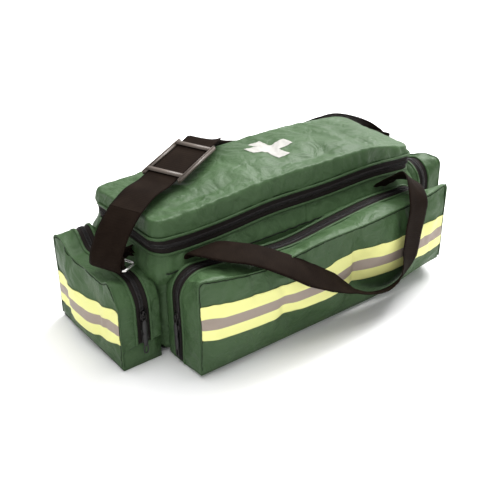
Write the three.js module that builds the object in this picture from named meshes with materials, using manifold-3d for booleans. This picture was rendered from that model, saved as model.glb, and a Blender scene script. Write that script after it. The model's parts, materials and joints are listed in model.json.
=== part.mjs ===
// Soft trauma bag: a padded box body with a full zipped lid, a long zipped pocket on the front, a zipped
// pocket on each end, reflective tape on the pockets, two webbing carry handles and a webbing shoulder strap.
// Millimetres. +X along the bag's length, -Y the front, +Z up. The origin is the centre of the base.
import * as THREE from 'three';
import { mergeVertices } from 'three/addons/utils/BufferGeometryUtils.js';
import Module from 'manifold-3d';

const wasm = await Module();
wasm.setup();

// ---------------------------------------------------------------- driving dimensions
const BODY_LENGTH = 470;
const BODY_DEPTH = 172;
const WALL = 6;
const GAP = 0.3;

const BASE_THICKNESS = 3;
const BOARD_THICKNESS = 3;

const MAIN_ZIP_HEIGHT = 162;
const ZIP_WIDTH = 22;
const LID_SEAM_HEIGHT = 190;
const LID_CROWN = 14;
const CROWN_LENGTH = 330;
const CROWN_DEPTH = 90;

const POCKET_WALL = 3;
const POCKET_CORNER_RADIUS = 30;
const FRONT_POCKET_LENGTH = 446;
const FRONT_POCKET_THICKNESS = 75;
const FRONT_POCKET_HEIGHT = 140;
const FRONT_ZIP_OFFSET = 25;
const END_POCKET_THICKNESS = 60;
const END_POCKET_HEIGHT = 131;
const END_ZIP_OFFSET = 26;
const END_TRAY_HEIGHT = 36;

const TAPE_WIDTH = 50;
const TAPE_THICKNESS = 0.8;
const FRONT_TAPE_BASE = 56;
const END_TAPE_BASE = 44;

const EMBLEM_SPAN = 74;
const EMBLEM_ARM = 24;
const EMBLEM_PLACE = 18;
const EMBLEM_THICKNESS = 0.8;

const WEBBING_WIDTH = 50;
const WEBBING_THICKNESS = 2.4;
const WEBBING_CLEARANCE = 2;
const HANDLE_ANCHOR = 170;
const HANDLE_SEAM_HEIGHT = 134;

const DIVIDER_THICKNESS = 6;
const DIVIDER_HEIGHT = 118;
const DIVIDER_PLACE = 78;

const SLIDER_LENGTH = 14;
const SLIDER_WIDTH = 10;
const SLIDER_THICKNESS = 3.5;
const PULL_LENGTH = 44;
const PULL_WIDTH = 8;
const PULL_THICKNESS = 2.4;
const PULL_LOOP_LENGTH = 12;
const PULL_CLEARANCE = 0.4;
const FRONT_SLIDER_HEIGHTS = [72, 54];
const END_SLIDER_HEIGHTS = [80, 62];
const MAIN_SLIDER_REAR = -38;
const MAIN_SLIDER_FRONT = -58;
const MAIN_PULL_LEAN = 48;

const RING_WIRE = 4;
const RING_DEPTH = 28;
const RING_REACH = 39;
const RING_SIDE = 42;
const RING_HEIGHT = 139.5;
const RING_TURN = 24;

const ADJUSTER_LENGTH = 94;
const ADJUSTER_RAIL = 6;
const ADJUSTER_BAR = 8;
const ADJUSTER_BAR_THICKNESS = 3;

// ---------------------------------------------------------------- sizes that follow
const halfLength = BODY_LENGTH / 2;
const halfDepth = BODY_DEPTH / 2;
const halfWebbing = WEBBING_WIDTH / 2;
const lidTop = LID_SEAM_HEIGHT + LID_CROWN;
const floorTop = BASE_THICKNESS + GAP;
const zipBottom = MAIN_ZIP_HEIGHT - ZIP_WIDTH / 2;
const zipTop = MAIN_ZIP_HEIGHT + ZIP_WIDTH / 2;
const ringBar = RING_DEPTH - RING_WIRE;

// ---------------------------------------------------------------- materials
const material = (color, roughness, metalness = 0) =>
  new THREE.MeshStandardMaterial({ color, roughness, metalness });
const nylon = material(0x3f5f40, 0.5);
const lining = material(0x1c211d, 0.8);
const webbing = material(0x2a211d, 0.8);
const zipTape = material(0x241a18, 0.6);
const reflective = material(0xe2ea3a, 0.45);
const emblemWhite = material(0xe8e8e4, 0.5);
const ringMetal = material(0x9a9088, 0.35, 1);
const adjusterPlastic = material(0x6b5c55, 0.4);
const sliderMetal = material(0x1d1817, 0.4, 1);
const pullRubber = material(0x2b211f, 0.6);

// ---------------------------------------------------------------- shapes
const toSolid = (geometry) => {
  const plain = geometry.clone();
  plain.deleteAttribute('normal');
  plain.deleteAttribute('uv');
  const merged = mergeVertices(plain);
  return new wasm.Manifold(new wasm.Mesh({
    numProp: 3,
    vertProperties: new Float32Array(merged.attributes.position.array),
    triVerts: new Uint32Array(merged.index.array),
  }));
};

const fromSolid = (solid) => {
  const mesh = solid.getMesh();
  const geometry = new THREE.BufferGeometry();
  geometry.setAttribute('position', new THREE.BufferAttribute(mesh.vertProperties, 3));
  geometry.setIndex(new THREE.BufferAttribute(mesh.triVerts, 1));
  geometry.computeVertexNormals();
  return geometry;
};

const join = (first, ...others) =>
  fromSolid(others.reduce((solid, other) => solid.add(toSolid(other)), toSolid(first)));

const block = ([x0, x1], [y0, y1], [z0, z1]) => {
  const geometry = new THREE.BoxGeometry(x1 - x0, y1 - y0, z1 - z0);
  geometry.translate((x0 + x1) / 2, (y0 + y1) / 2, (z0 + z1) / 2);
  return geometry;
};

const extrude = (shape, depth, curveSegments = 4) =>
  new THREE.ExtrudeGeometry(shape, { depth, bevelEnabled: false, curveSegments });

// The arch that a pocket's gusset makes over its contents: two legs and a top, with round upper corners.
const arch = (halfWidth, bottom, top, radius, near, far) => {
  const shape = new THREE.Shape();
  const inner = radius - POCKET_WALL;
  const insideWidth = halfWidth - POCKET_WALL;
  shape.moveTo(-halfWidth, bottom);
  shape.lineTo(-halfWidth, top - radius);
  shape.absarc(-halfWidth + radius, top - radius, radius, Math.PI, Math.PI / 2, true);
  shape.lineTo(halfWidth - radius, top);
  shape.absarc(halfWidth - radius, top - radius, radius, Math.PI / 2, 0, true);
  shape.lineTo(halfWidth, bottom);
  shape.lineTo(insideWidth, bottom);
  shape.lineTo(insideWidth, top - radius);
  shape.absarc(halfWidth - radius, top - radius, inner, 0, Math.PI / 2, false);
  shape.lineTo(-halfWidth + radius, top - POCKET_WALL);
  shape.absarc(-halfWidth + radius, top - radius, inner, Math.PI / 2, Math.PI, false);
  shape.lineTo(-insideWidth, bottom);
  const geometry = extrude(shape, far - near);
  geometry.rotateX(Math.PI / 2);
  geometry.translate(0, -near, 0);
  return geometry;
};

// A band that runs round the front and both ends of the body and stops at the rear wall.
const threeSidedBand = (bottom, top) => {
  const rear = halfDepth - WALL - GAP;
  const shape = new THREE.Shape();
  shape.moveTo(-halfLength, rear);
  shape.lineTo(-halfLength, -halfDepth);
  shape.lineTo(halfLength, -halfDepth);
  shape.lineTo(halfLength, rear);
  shape.lineTo(halfLength - WALL, rear);
  shape.lineTo(halfLength - WALL, -halfDepth + WALL);
  shape.lineTo(-halfLength + WALL, -halfDepth + WALL);
  shape.lineTo(-halfLength + WALL, rear);
  const geometry = extrude(shape, top - bottom);
  geometry.translate(0, 0, bottom);
  return geometry;
};

// A length of webbing through stations of [centre, half of its width as a vector].
const ribbon = (stations, steps) => {
  const centres = new THREE.CatmullRomCurve3(stations.map(([centre]) => new THREE.Vector3(...centre)));
  const widths = stations.map(([, half]) => new THREE.Vector3(...half).normalize());
  const geometry = new THREE.BoxGeometry(WEBBING_WIDTH, WEBBING_THICKNESS, 1, 1, 1, steps);
  const place = geometry.attributes.position;
  for (let i = 0; i < place.count; i += 1) {
    const along = Math.min(Math.max(place.getZ(i) + 0.5, 0), 1);
    const span = along * (stations.length - 1);
    const before = Math.min(Math.floor(span), stations.length - 2);
    const across = widths[before].clone().lerp(widths[before + 1], span - before).normalize();
    const centre = centres.getPoint(along);
    const tangent = centres.getTangent(along);
    const normal = new THREE.Vector3().crossVectors(tangent, across).normalize();
    const point = centre.addScaledVector(across, place.getX(i)).addScaledVector(normal, place.getY(i));
    place.setXYZ(i, point.x, point.y, point.z);
  }
  return geometry;
};

// ---------------------------------------------------------------- assembly
const bag = new THREE.Group();

const add = (name, geometry, finish, parent = bag) => {
  const mesh = new THREE.Mesh(geometry, finish);
  mesh.name = name;
  parent.add(mesh);
  return mesh;
};

// ---------------------------------------------------------------- body shell
const buildBody = () => {
  const wallTop = zipBottom - GAP;
  const insideDepth = halfDepth - WALL - GAP;
  const acrossLength = [-halfLength, halfLength];
  add('base_panel', block(acrossLength, [-halfDepth, halfDepth], [0, BASE_THICKNESS]), nylon);
  add('base_board', block(
    [-halfLength + WALL + GAP, halfLength - WALL - GAP],
    [-insideDepth, insideDepth],
    [floorTop, floorTop + BOARD_THICKNESS],
  ), lining);
  add('front_wall', block(acrossLength, [-halfDepth, -halfDepth + WALL], [floorTop, wallTop]), nylon);
  add('rear_wall', block(
    acrossLength,
    [halfDepth - WALL, halfDepth],
    [floorTop, MAIN_ZIP_HEIGHT - GAP / 2],
  ), nylon);
  const wallDepth = [-insideDepth, insideDepth];
  add('left_wall', block([-halfLength, -halfLength + WALL], wallDepth, [floorTop, wallTop]), nylon);
  add('right_wall', block([halfLength - WALL, halfLength], wallDepth, [floorTop, wallTop]), nylon);
  add('main_zip_lower', threeSidedBand(zipBottom, MAIN_ZIP_HEIGHT - GAP / 2), zipTape);
};

// ---------------------------------------------------------------- lid
const buildLid = () => {
  const gussetTop = LID_SEAM_HEIGHT - GAP;
  add('main_zip_upper', threeSidedBand(MAIN_ZIP_HEIGHT + GAP / 2, zipTop - GAP), zipTape);

  const outline = new THREE.Shape();
  outline.moveTo(-halfLength, -halfDepth);
  outline.lineTo(halfLength, -halfDepth);
  outline.lineTo(halfLength, halfDepth);
  outline.lineTo(-halfLength, halfDepth);
  const inside = new THREE.Path();
  inside.moveTo(-halfLength + WALL, -halfDepth + WALL);
  inside.lineTo(halfLength - WALL, -halfDepth + WALL);
  inside.lineTo(halfLength - WALL, halfDepth - WALL);
  inside.lineTo(-halfLength + WALL, halfDepth - WALL);
  outline.holes.push(inside);
  const ring = extrude(outline, gussetTop - zipTop);
  ring.translate(0, 0, zipTop);
  const rearStrip = block(
    [-halfLength, halfLength],
    [halfDepth - WALL, halfDepth],
    [MAIN_ZIP_HEIGHT + GAP / 2, gussetTop],
  );
  add('lid_gusset', join(ring, rearStrip), nylon);

  const top = block([-halfLength, halfLength], [-halfDepth, halfDepth], [LID_SEAM_HEIGHT, lidTop]);
  const corners = top.attributes.position;
  for (let i = 0; i < corners.count; i += 1) {
    if (corners.getZ(i) > LID_SEAM_HEIGHT + GAP) {
      corners.setX(i, Math.sign(corners.getX(i)) * CROWN_LENGTH / 2);
      corners.setY(i, Math.sign(corners.getY(i)) * CROWN_DEPTH / 2);
    }
  }
  add('lid_top_panel', top, nylon);

  const cross = new THREE.Shape();
  const reach = EMBLEM_SPAN / 2;
  const arm = EMBLEM_ARM / 2;
  const quarter = [[reach, -arm], [reach, arm], [arm, arm]];
  for (let turn = 0; turn < 4; turn += 1) {
    quarter.forEach(([x, y]) => {
      const point = new THREE.Vector2(x, y).rotateAround(new THREE.Vector2(), turn * Math.PI / 2);
      if (cross.currentPoint.lengthSq() === 0) {
        cross.moveTo(point.x, point.y);
      } else {
        cross.lineTo(point.x, point.y);
      }
    });
  }
  const emblem = extrude(cross, EMBLEM_THICKNESS);
  emblem.translate(EMBLEM_PLACE, 0, lidTop + GAP);
  add('lid_emblem', emblem, emblemWhite);
};

// ---------------------------------------------------------------- zip sliders and their pulls
// A slider lies flat on a zip whose teeth run along local +Z, and stands out along local +X.
const sliderBody = () => {
  const neck = SLIDER_WIDTH * 0.3;
  const outline = new THREE.Shape();
  outline.moveTo(-neck, -SLIDER_LENGTH / 2);
  outline.lineTo(neck, -SLIDER_LENGTH / 2);
  outline.lineTo(SLIDER_WIDTH / 2, SLIDER_LENGTH / 6);
  outline.lineTo(SLIDER_WIDTH / 2, SLIDER_LENGTH / 2);
  outline.lineTo(-SLIDER_WIDTH / 2, SLIDER_LENGTH / 2);
  outline.lineTo(-SLIDER_WIDTH / 2, SLIDER_LENGTH / 6);
  const geometry = extrude(outline, SLIDER_THICKNESS);
  geometry.rotateX(Math.PI / 2);
  geometry.rotateZ(Math.PI / 2);
  geometry.translate(GAP, 0, 0);
  return geometry;
};

// The pull is a flat sleeve that ends in an open cord loop. It hangs from its top, at local zero height.
const pullBody = () => {
  const radius = PULL_WIDTH / 2;
  const eye = radius - 1.4;
  const outline = new THREE.Shape();
  outline.moveTo(-radius, 0);
  outline.lineTo(-radius, -PULL_LENGTH + radius);
  outline.absarc(0, -PULL_LENGTH + radius, radius, Math.PI, 2 * Math.PI, false);
  outline.lineTo(radius, 0);
  const loop = new THREE.Path();
  loop.moveTo(-eye, -PULL_LENGTH + PULL_LOOP_LENGTH);
  loop.lineTo(eye, -PULL_LENGTH + PULL_LOOP_LENGTH);
  loop.lineTo(eye, -PULL_LENGTH + radius);
  loop.absarc(0, -PULL_LENGTH + radius, eye, 0, -Math.PI, true);
  outline.holes.push(loop);
  const geometry = extrude(outline, PULL_THICKNESS);
  geometry.rotateX(Math.PI / 2);
  geometry.rotateZ(Math.PI / 2);
  geometry.translate(GAP + SLIDER_THICKNESS + PULL_CLEARANCE, 0, 0);
  return geometry;
};

// ---------------------------------------------------------------- pockets
// A pocket is built with its wall in the local plane y = 0, its front towards local -Y, and then turned.
const buildPocket = ({
  name, turn, wallPlace, halfWidth, thickness, height, zipOffset, trayHeight, tapeBase, sliderSide, sliderHeights,
}) => {
  const pocket = new THREE.Group();
  pocket.rotation.z = turn;
  pocket.position.set(wallPlace * Math.sin(turn), -wallPlace * Math.cos(turn), 0);
  bag.add(pocket);

  const legFoot = Math.max(trayHeight, BASE_THICKNESS) + GAP;
  const radius = POCKET_CORNER_RADIUS;
  const zipNear = zipOffset - ZIP_WIDTH / 2;
  const zipFar = zipOffset + ZIP_WIDTH / 2;
  const faceNear = thickness - POCKET_WALL;
  const span = [-halfWidth, halfWidth];

  let floor = block(span, [-thickness, -GAP], [0, BASE_THICKNESS]);
  if (trayHeight > 0) {
    const trayDepth = [-faceNear + GAP, -GAP];
    floor = join(
      floor,
      block([-halfWidth, -halfWidth + POCKET_WALL], trayDepth, [0, trayHeight]),
      block([halfWidth - POCKET_WALL, halfWidth], trayDepth, [0, trayHeight]),
    );
  }
  const archBetween = (near, far) => arch(halfWidth, legFoot, height, radius, near, far);
  add(`${name}_pocket_floor`, floor, nylon, pocket);
  add(`${name}_pocket_inner_gusset`, archBetween(GAP, zipNear), nylon, pocket);
  add(`${name}_zip_fixed`, archBetween(zipNear + GAP, zipOffset - GAP / 2), zipTape, pocket);
  add(`${name}_zip_moving`, archBetween(zipOffset + GAP / 2, zipFar), zipTape, pocket);
  add(`${name}_pocket_outer_gusset`, archBetween(zipFar + GAP, faceNear - GAP), nylon, pocket);
  add(`${name}_pocket_face`, block(span, [-thickness, -faceNear], [floorTop, height]), nylon, pocket);
  const tapeFront = -thickness - GAP;
  add(`${name}_reflective_tape`, block(
    span,
    [tapeFront - TAPE_THICKNESS, tapeFront],
    [tapeBase, tapeBase + TAPE_WIDTH],
  ), reflective, pocket);

  sliderHeights.forEach((sliderHeight, index) => {
    const label = index === 0 ? 'upper' : 'lower';
    const side = new THREE.Group();
    side.position.set(sliderSide * halfWidth, -zipOffset, sliderHeight);
    side.rotation.z = sliderSide > 0 ? 0 : Math.PI;
    pocket.add(side);
    add(`${name}_zip_slider_${label}`, sliderBody(), sliderMetal, side);
    const pull = add(`${name}_zip_pull_${label}`, pullBody(), pullRubber, side);
    const aside = (PULL_WIDTH + PULL_CLEARANCE * 2) / 2;
    pull.position.y = index === 0 ? aside : -aside;
  });
};

// ---------------------------------------------------------------- main zip sliders, on the right end
const buildMainSliders = () => {
  const restAngle = MAIN_PULL_LEAN * Math.PI / 180;
  [['rear', MAIN_SLIDER_REAR, 1], ['front', MAIN_SLIDER_FRONT, -1]].forEach(([label, along, way]) => {
    const place = new THREE.Group();
    place.position.set(halfLength, along, MAIN_ZIP_HEIGHT);
    bag.add(place);
    const slider = sliderBody();
    slider.rotateX(way * Math.PI / 2);
    add(`main_zip_slider_${label}`, slider, sliderMetal, place);
    const pull = pullBody();
    const hinge = GAP + SLIDER_THICKNESS + PULL_CLEARANCE;
    pull.translate(-hinge, 0, 0);
    pull.rotateY(-restAngle);
    pull.translate(hinge, 0, 0);
    add(`main_zip_pull_${label}`, pull, pullRubber, place);
  });
};

// ---------------------------------------------------------------- dividers
const buildDividers = () => {
  const reach = halfDepth - WALL - GAP;
  const foot = floorTop + BOARD_THICKNESS + GAP;
  [['left', -1], ['right', 1]].forEach(([label, side]) => {
    const centre = side * DIVIDER_PLACE;
    add(`divider_${label}`, block(
      [centre - DIVIDER_THICKNESS / 2, centre + DIVIDER_THICKNESS / 2],
      [-reach, reach],
      [foot, foot + DIVIDER_HEIGHT],
    ), lining);
  });
};

// ---------------------------------------------------------------- D-rings and their tabs
// Each ring lies flat over its end pocket, turned a little towards the strap that pulls on it.
const buildRing = (name, side) => {
  const across = WEBBING_WIDTH + 2 * RING_WIRE + 1;
  const outline = new THREE.Shape();
  outline.moveTo(0, -across / 2);
  outline.lineTo(RING_DEPTH - RING_WIRE, -across / 2);
  outline.lineTo(RING_DEPTH, -across / 2 + RING_WIRE);
  outline.lineTo(RING_DEPTH, across / 2 - RING_WIRE);
  outline.lineTo(RING_DEPTH - RING_WIRE, across / 2);
  outline.lineTo(0, across / 2);
  const inside = new THREE.Path();
  const half = across / 2 - RING_WIRE;
  inside.moveTo(RING_WIRE, -half);
  inside.lineTo(RING_DEPTH - RING_WIRE, -half);
  inside.lineTo(RING_DEPTH - RING_WIRE, half);
  inside.lineTo(RING_WIRE, half);
  outline.holes.push(inside);
  const ring = extrude(outline, RING_WIRE);
  ring.translate(-RING_DEPTH / 2, 0, -RING_WIRE / 2);
  const turned = (side < 0 ? 180 + RING_TURN : RING_TURN) * Math.PI / 180;
  const mesh = add(`${name}_d_ring`, ring, ringMetal);
  mesh.rotation.z = turned;
  mesh.position.set(side * (halfLength + RING_REACH), side * RING_SIDE, RING_HEIGHT);

  const out = new THREE.Vector2(Math.cos(turned), Math.sin(turned));
  const tabEnd = RING_DEPTH / 2 + WEBBING_CLEARANCE;
  const wallPoint = side * (halfLength + WEBBING_CLEARANCE * 2.2);
  const endX = side * (halfLength + RING_REACH) - out.x * tabEnd;
  const endY = side * RING_SIDE - out.y * tabEnd;
  add(`${name}_ring_tab`, ribbon([
    [[wallPoint, endY - side * 8, RING_HEIGHT + 7], [0, side, 0]],
    [[(wallPoint + endX) / 2, endY - side * 3, RING_HEIGHT + 2], [-out.y / 2, out.x, 0]],
    [[endX, endY, RING_HEIGHT], [-out.y, out.x, 0]],
  ], 6), webbing);
};

// ---------------------------------------------------------------- shoulder strap
const strapAxisStart = [-halfLength + 50, -8, lidTop + 9];
const strapAxisEnd = [-halfLength + 162, 40, lidTop + 28];
const strapAcross = [0.394, -0.919, 0];
const onStrapAxis = (share) => [
  strapAxisStart.map((value, i) => value + (strapAxisEnd[i] - value) * share),
  strapAcross,
];

const buildStrap = () => {
  const ringX = halfLength + RING_REACH + (ringBar / 2) * Math.cos(RING_TURN * Math.PI / 180);
  const ringY = RING_SIDE + (ringBar / 2) * Math.sin(RING_TURN * Math.PI / 180);
  const ringTop = RING_HEIGHT + RING_WIRE / 2 + WEBBING_CLEARANCE;
  add('shoulder_strap_left', ribbon([
    [[-ringX, -ringY, ringTop], strapAcross],
    [[-ringX + 3, -ringY, RING_HEIGHT + 22], strapAcross],
    [[-ringX + 17, -ringY + 2, RING_HEIGHT + 46], strapAcross],
    [[-halfLength - 13, -ringY + 8, lidTop + 1], strapAcross],
  ], 10), webbing);
  add('shoulder_strap_over_lid', ribbon([
    [[-halfLength - 9, -ringY + 10, lidTop + 3.5], strapAcross],
    [[-halfLength + 20, -21, lidTop + 8.5], strapAcross],
    ...[0, 0.1, 0.5, 0.9, 1].map(onStrapAxis),
    [[-halfLength + 178, halfDepth - 34, lidTop + 22], [0.43, -0.88, 0.2]],
    [[-halfLength + 190, halfDepth - 20, lidTop + 8], [0.45, -0.8, 0.4]],
    [[-halfLength + 201, halfDepth - 5, lidTop - 3], [0.45, -0.72, 0.53]],
  ], 24), webbing);
  add('shoulder_strap_rear', ribbon([
    [[-halfLength + 203, halfDepth - 2, lidTop - 7], [0.45, -0.72, 0.53]],
    [[-halfLength + 223, halfDepth + 16, lidTop - 28], [0.2, -0.45, 0.87]],
    [[22, halfDepth + 26, lidTop - 45], [0, -0.2, 1]],
    [[70, halfDepth + 26, lidTop - 54], [0, -0.15, 1]],
    [[halfLength - 85, halfDepth + 26, lidTop - 47], [-0.25, -0.45, 0.86]],
    [[halfLength - 23, halfDepth + 25, lidTop - 31], [-0.45, -0.72, 0.52]],
    [[halfLength + 19, halfDepth + 20, lidTop - 34], [-0.42, -0.76, 0.48]],
    [[ringX + 4, ringY + 25, RING_HEIGHT + 21], [0.1, -0.95, 0.3]],
    [[ringX, ringY, ringTop], strapAcross],
  ], 34), webbing);
};

// The adjuster is a long two-bar ladder frame with a keeper bar under the webbing.
const buildAdjuster = () => {
  const start = new THREE.Vector3(...strapAxisStart);
  const along = new THREE.Vector3(...strapAxisEnd).sub(start).normalize();
  const across = new THREE.Vector3(...strapAcross);
  across.addScaledVector(along, -across.dot(along)).normalize();
  const normal = new THREE.Vector3().crossVectors(across, along);
  if (normal.z < 0) {
    normal.negate();
    across.negate();
  }
  const half = halfWebbing + 0.8;
  const rise = WEBBING_THICKNESS / 2 + 0.5;
  const length = [-ADJUSTER_LENGTH / 2, ADJUSTER_LENGTH / 2];
  const barSpan = [-half - 1, half + 1];
  const over = [rise, rise + ADJUSTER_BAR_THICKNESS];
  const under = [-rise - ADJUSTER_BAR_THICKNESS, -rise];
  const railHeight = [-rise - ADJUSTER_BAR_THICKNESS, rise + ADJUSTER_BAR_THICKNESS];
  const barPlace = ADJUSTER_LENGTH / 2 - ADJUSTER_BAR;
  const frame = join(
    block(length, [half, half + ADJUSTER_RAIL], railHeight),
    block(length, [-half - ADJUSTER_RAIL, -half], railHeight),
    block([-barPlace - ADJUSTER_BAR, -barPlace], barSpan, over),
    block([barPlace - ADJUSTER_BAR, barPlace], barSpan, over),
    block([-ADJUSTER_BAR / 2, ADJUSTER_BAR / 2], barSpan, under),
  );
  const adjuster = add('strap_adjuster', frame, adjusterPlastic);
  const middle = start.clone().add(new THREE.Vector3(...strapAxisEnd)).multiplyScalar(0.5);
  adjuster.quaternion.setFromRotationMatrix(new THREE.Matrix4().makeBasis(along, across.negate(), normal));
  adjuster.position.copy(middle);
};

// ---------------------------------------------------------------- carry handles
const buildHandles = () => {
  const wallY = -halfDepth - WEBBING_CLEARANCE;
  const faceY = -halfDepth - FRONT_POCKET_THICKNESS;
  const top = FRONT_POCKET_HEIGHT;
  const seam = HANDLE_SEAM_HEIGHT + 14;
  add('front_handle', ribbon([
    [[-HANDLE_ANCHOR, wallY, seam], [1, 0, 0]],
    [[-HANDLE_ANCHOR + 6, wallY - 17, top + 12], [0.92, 0.38, 0]],
    [[-HANDLE_ANCHOR + 20, wallY - 40, top + 11], [0.75, 0.65, 0.05]],
    [[-HANDLE_ANCHOR + 43, faceY + 8, top + 9], [0.7, 0.7, 0.05]],
    [[-HANDLE_ANCHOR + 78, faceY - 17, top - 1], [0.7, 0.62, 0.34]],
    [[-56, faceY - 21, 107], [0.75, 0.64, 0.13]],
    [[-18, faceY - 23, 82], [0.72, 0.69, 0]],
    [[4, faceY - 24, 66], [0.68, 0.7, -0.22]],
    [[22, faceY - 26, 54], [0.58, 0.7, -0.42]],
    [[50, faceY - 27, 40], [0.52, 0.69, -0.49]],
    [[82, faceY - 27, 33], [0.52, 0.69, -0.49]],
    [[108, faceY - 25, 37], [0.58, 0.62, -0.52]],
    [[126, faceY - 21, 49], [0.7, 0.45, -0.55]],
    [[137, faceY - 17, 68], [0.86, 0.2, -0.45]],
    [[142, faceY - 16, 104], [0.9, 0.18, -0.4]],
    [[148, faceY - 15, 138], [0.9, 0.15, -0.42]],
    [[HANDLE_ANCHOR - 14, faceY - 3, top + 21], [0.7, -0.2, -0.68]],
    [[HANDLE_ANCHOR, faceY + 21, top + 26], [0.74, -0.1, -0.62]],
    [[HANDLE_ANCHOR + 5, faceY + 46, top + 17], [0.85, 0.1, -0.4]],
    [[HANDLE_ANCHOR + 1, wallY - 8, top + 9], [1, 0.05, -0.1]],
    [[HANDLE_ANCHOR, wallY, seam], [1, 0, 0]],
  ], 72), webbing);

  const rear = halfDepth;
  const loop = [];
  const drop = HANDLE_SEAM_HEIGHT - 34;
  for (const side of [-1, 1]) {
    const half = [
      [[side * HANDLE_ANCHOR, rear + 2.5, HANDLE_SEAM_HEIGHT], [1, 0, 0]],
      [[side * HANDLE_ANCHOR, rear + 12, HANDLE_SEAM_HEIGHT + 6], [1, 0, 0]],
      [[side * (HANDLE_ANCHOR - 1), rear + 19, HANDLE_SEAM_HEIGHT - 12], [1, 0, -side * 0.1]],
      [[side * (HANDLE_ANCHOR - 16), rear + 20, HANDLE_SEAM_HEIGHT - drop / 2], [0.9, 0, -side * 0.45]],
      [[side * (HANDLE_ANCHOR - 60), rear + 21, HANDLE_SEAM_HEIGHT - drop * 0.87], [0.5, 0, -side * 0.87]],
    ];
    half.forEach((station) => {
      const [, [x, y, z]] = station;
      station[1] = side < 0 ? [x, y, z] : [-x, y, -z];
    });
    loop.push(...(side < 0 ? half : half.reverse()));
    if (side < 0) {
      loop.push([[0, rear + 22, HANDLE_SEAM_HEIGHT - drop], [0, 0, 1]]);
    }
  }
  add('rear_handle', ribbon(loop, 48), webbing);
};

// ---------------------------------------------------------------- the whole bag
buildBody();
buildLid();
buildPocket({
  name: 'front',
  turn: 0,
  wallPlace: halfDepth,
  halfWidth: FRONT_POCKET_LENGTH / 2,
  thickness: FRONT_POCKET_THICKNESS,
  height: FRONT_POCKET_HEIGHT,
  zipOffset: FRONT_ZIP_OFFSET,
  trayHeight: 0,
  tapeBase: FRONT_TAPE_BASE,
  sliderSide: -1,
  sliderHeights: FRONT_SLIDER_HEIGHTS,
});
[['left', -1], ['right', 1]].forEach(([name, side]) => buildPocket({
  name,
  turn: side * Math.PI / 2,
  wallPlace: halfLength,
  halfWidth: halfDepth,
  thickness: END_POCKET_THICKNESS,
  height: END_POCKET_HEIGHT,
  zipOffset: END_ZIP_OFFSET,
  trayHeight: END_TRAY_HEIGHT,
  tapeBase: END_TAPE_BASE,
  sliderSide: -side,
  sliderHeights: END_SLIDER_HEIGHTS,
}));
buildMainSliders();
buildDividers();
buildRing('left', -1);
buildRing('right', 1);
buildStrap();
buildAdjuster();
buildHandles();

export default bag;
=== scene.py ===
import bisect
import json
import math

import bmesh
import bpy
from mathutils import Matrix, Vector, geometry, noise
from mathutils.bvhtree import BVHTree

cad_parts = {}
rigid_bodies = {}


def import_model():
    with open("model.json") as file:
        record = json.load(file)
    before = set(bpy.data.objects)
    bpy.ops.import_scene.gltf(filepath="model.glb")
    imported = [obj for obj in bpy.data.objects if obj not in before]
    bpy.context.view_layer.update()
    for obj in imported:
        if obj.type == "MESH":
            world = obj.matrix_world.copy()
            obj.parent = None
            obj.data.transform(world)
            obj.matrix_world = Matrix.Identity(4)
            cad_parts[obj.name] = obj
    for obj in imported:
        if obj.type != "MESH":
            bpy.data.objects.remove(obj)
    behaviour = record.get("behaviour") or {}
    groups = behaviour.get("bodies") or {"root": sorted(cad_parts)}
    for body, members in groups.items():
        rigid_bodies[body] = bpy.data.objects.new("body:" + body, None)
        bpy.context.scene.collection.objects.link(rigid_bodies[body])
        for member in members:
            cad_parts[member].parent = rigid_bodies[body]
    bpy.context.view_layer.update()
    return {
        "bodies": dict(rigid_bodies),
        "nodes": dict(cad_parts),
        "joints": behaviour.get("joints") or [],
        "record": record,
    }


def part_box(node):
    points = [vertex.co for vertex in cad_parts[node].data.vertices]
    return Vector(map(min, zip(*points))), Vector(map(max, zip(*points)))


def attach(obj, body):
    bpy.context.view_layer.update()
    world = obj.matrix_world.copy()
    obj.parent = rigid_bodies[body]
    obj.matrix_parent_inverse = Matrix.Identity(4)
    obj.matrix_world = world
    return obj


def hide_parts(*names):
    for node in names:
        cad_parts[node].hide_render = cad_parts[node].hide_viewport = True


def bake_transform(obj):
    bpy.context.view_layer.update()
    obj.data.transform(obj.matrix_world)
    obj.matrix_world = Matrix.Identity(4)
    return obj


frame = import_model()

# ---------------------------------------------------------------------------------------------
# Studio: a seamless pale floor, a large soft key from behind on the right, and a weak fill on the
# left. The camera looks down at the front left corner of the bag from about chest height.
scene = bpy.context.scene
scene.view_settings.view_transform = "Standard"

CAMERA_PLACE = Vector((-0.7098, -0.9109, 0.6993))
CAMERA_AZIMUTH = math.radians(-37.1)
CAMERA_ELEVATION = math.radians(29.6)
CAMERA_ROLL = math.radians(-0.4)
CAMERA_LENS = 62.2


def look_matrix(place, azimuth, elevation, roll):
    """Camera matrix that looks along the given azimuth and down by the elevation."""
    back = Vector((
        math.sin(azimuth) * math.cos(elevation),
        -math.cos(azimuth) * math.cos(elevation),
        math.sin(elevation),
    ))
    right = Vector((0, 0, 1)).cross(back).normalized()
    up = back.cross(right)
    basis = Matrix((right, up, back)).transposed().to_4x4()
    return Matrix.Translation(place) @ basis @ Matrix.Rotation(roll, 4, "Z")


camera = bpy.data.objects.new("camera", bpy.data.cameras.new("camera"))
camera.data.lens = CAMERA_LENS
camera.data.clip_end = 20
camera.matrix_world = look_matrix(CAMERA_PLACE, CAMERA_AZIMUTH, CAMERA_ELEVATION, CAMERA_ROLL)
scene.collection.objects.link(camera)
scene.camera = camera


def soft_light(name, place, target, width, height, power):
    """A rectangular soft box that faces its target."""
    lamp = bpy.data.lights.new(name, "AREA")
    lamp.shape = "RECTANGLE"
    lamp.size = width
    lamp.size_y = height
    lamp.energy = power
    holder = bpy.data.objects.new(name, lamp)
    holder.location = place
    holder.rotation_euler = (Vector(target) - Vector(place)).to_track_quat("-Z", "Y").to_euler()
    scene.collection.objects.link(holder)


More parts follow.
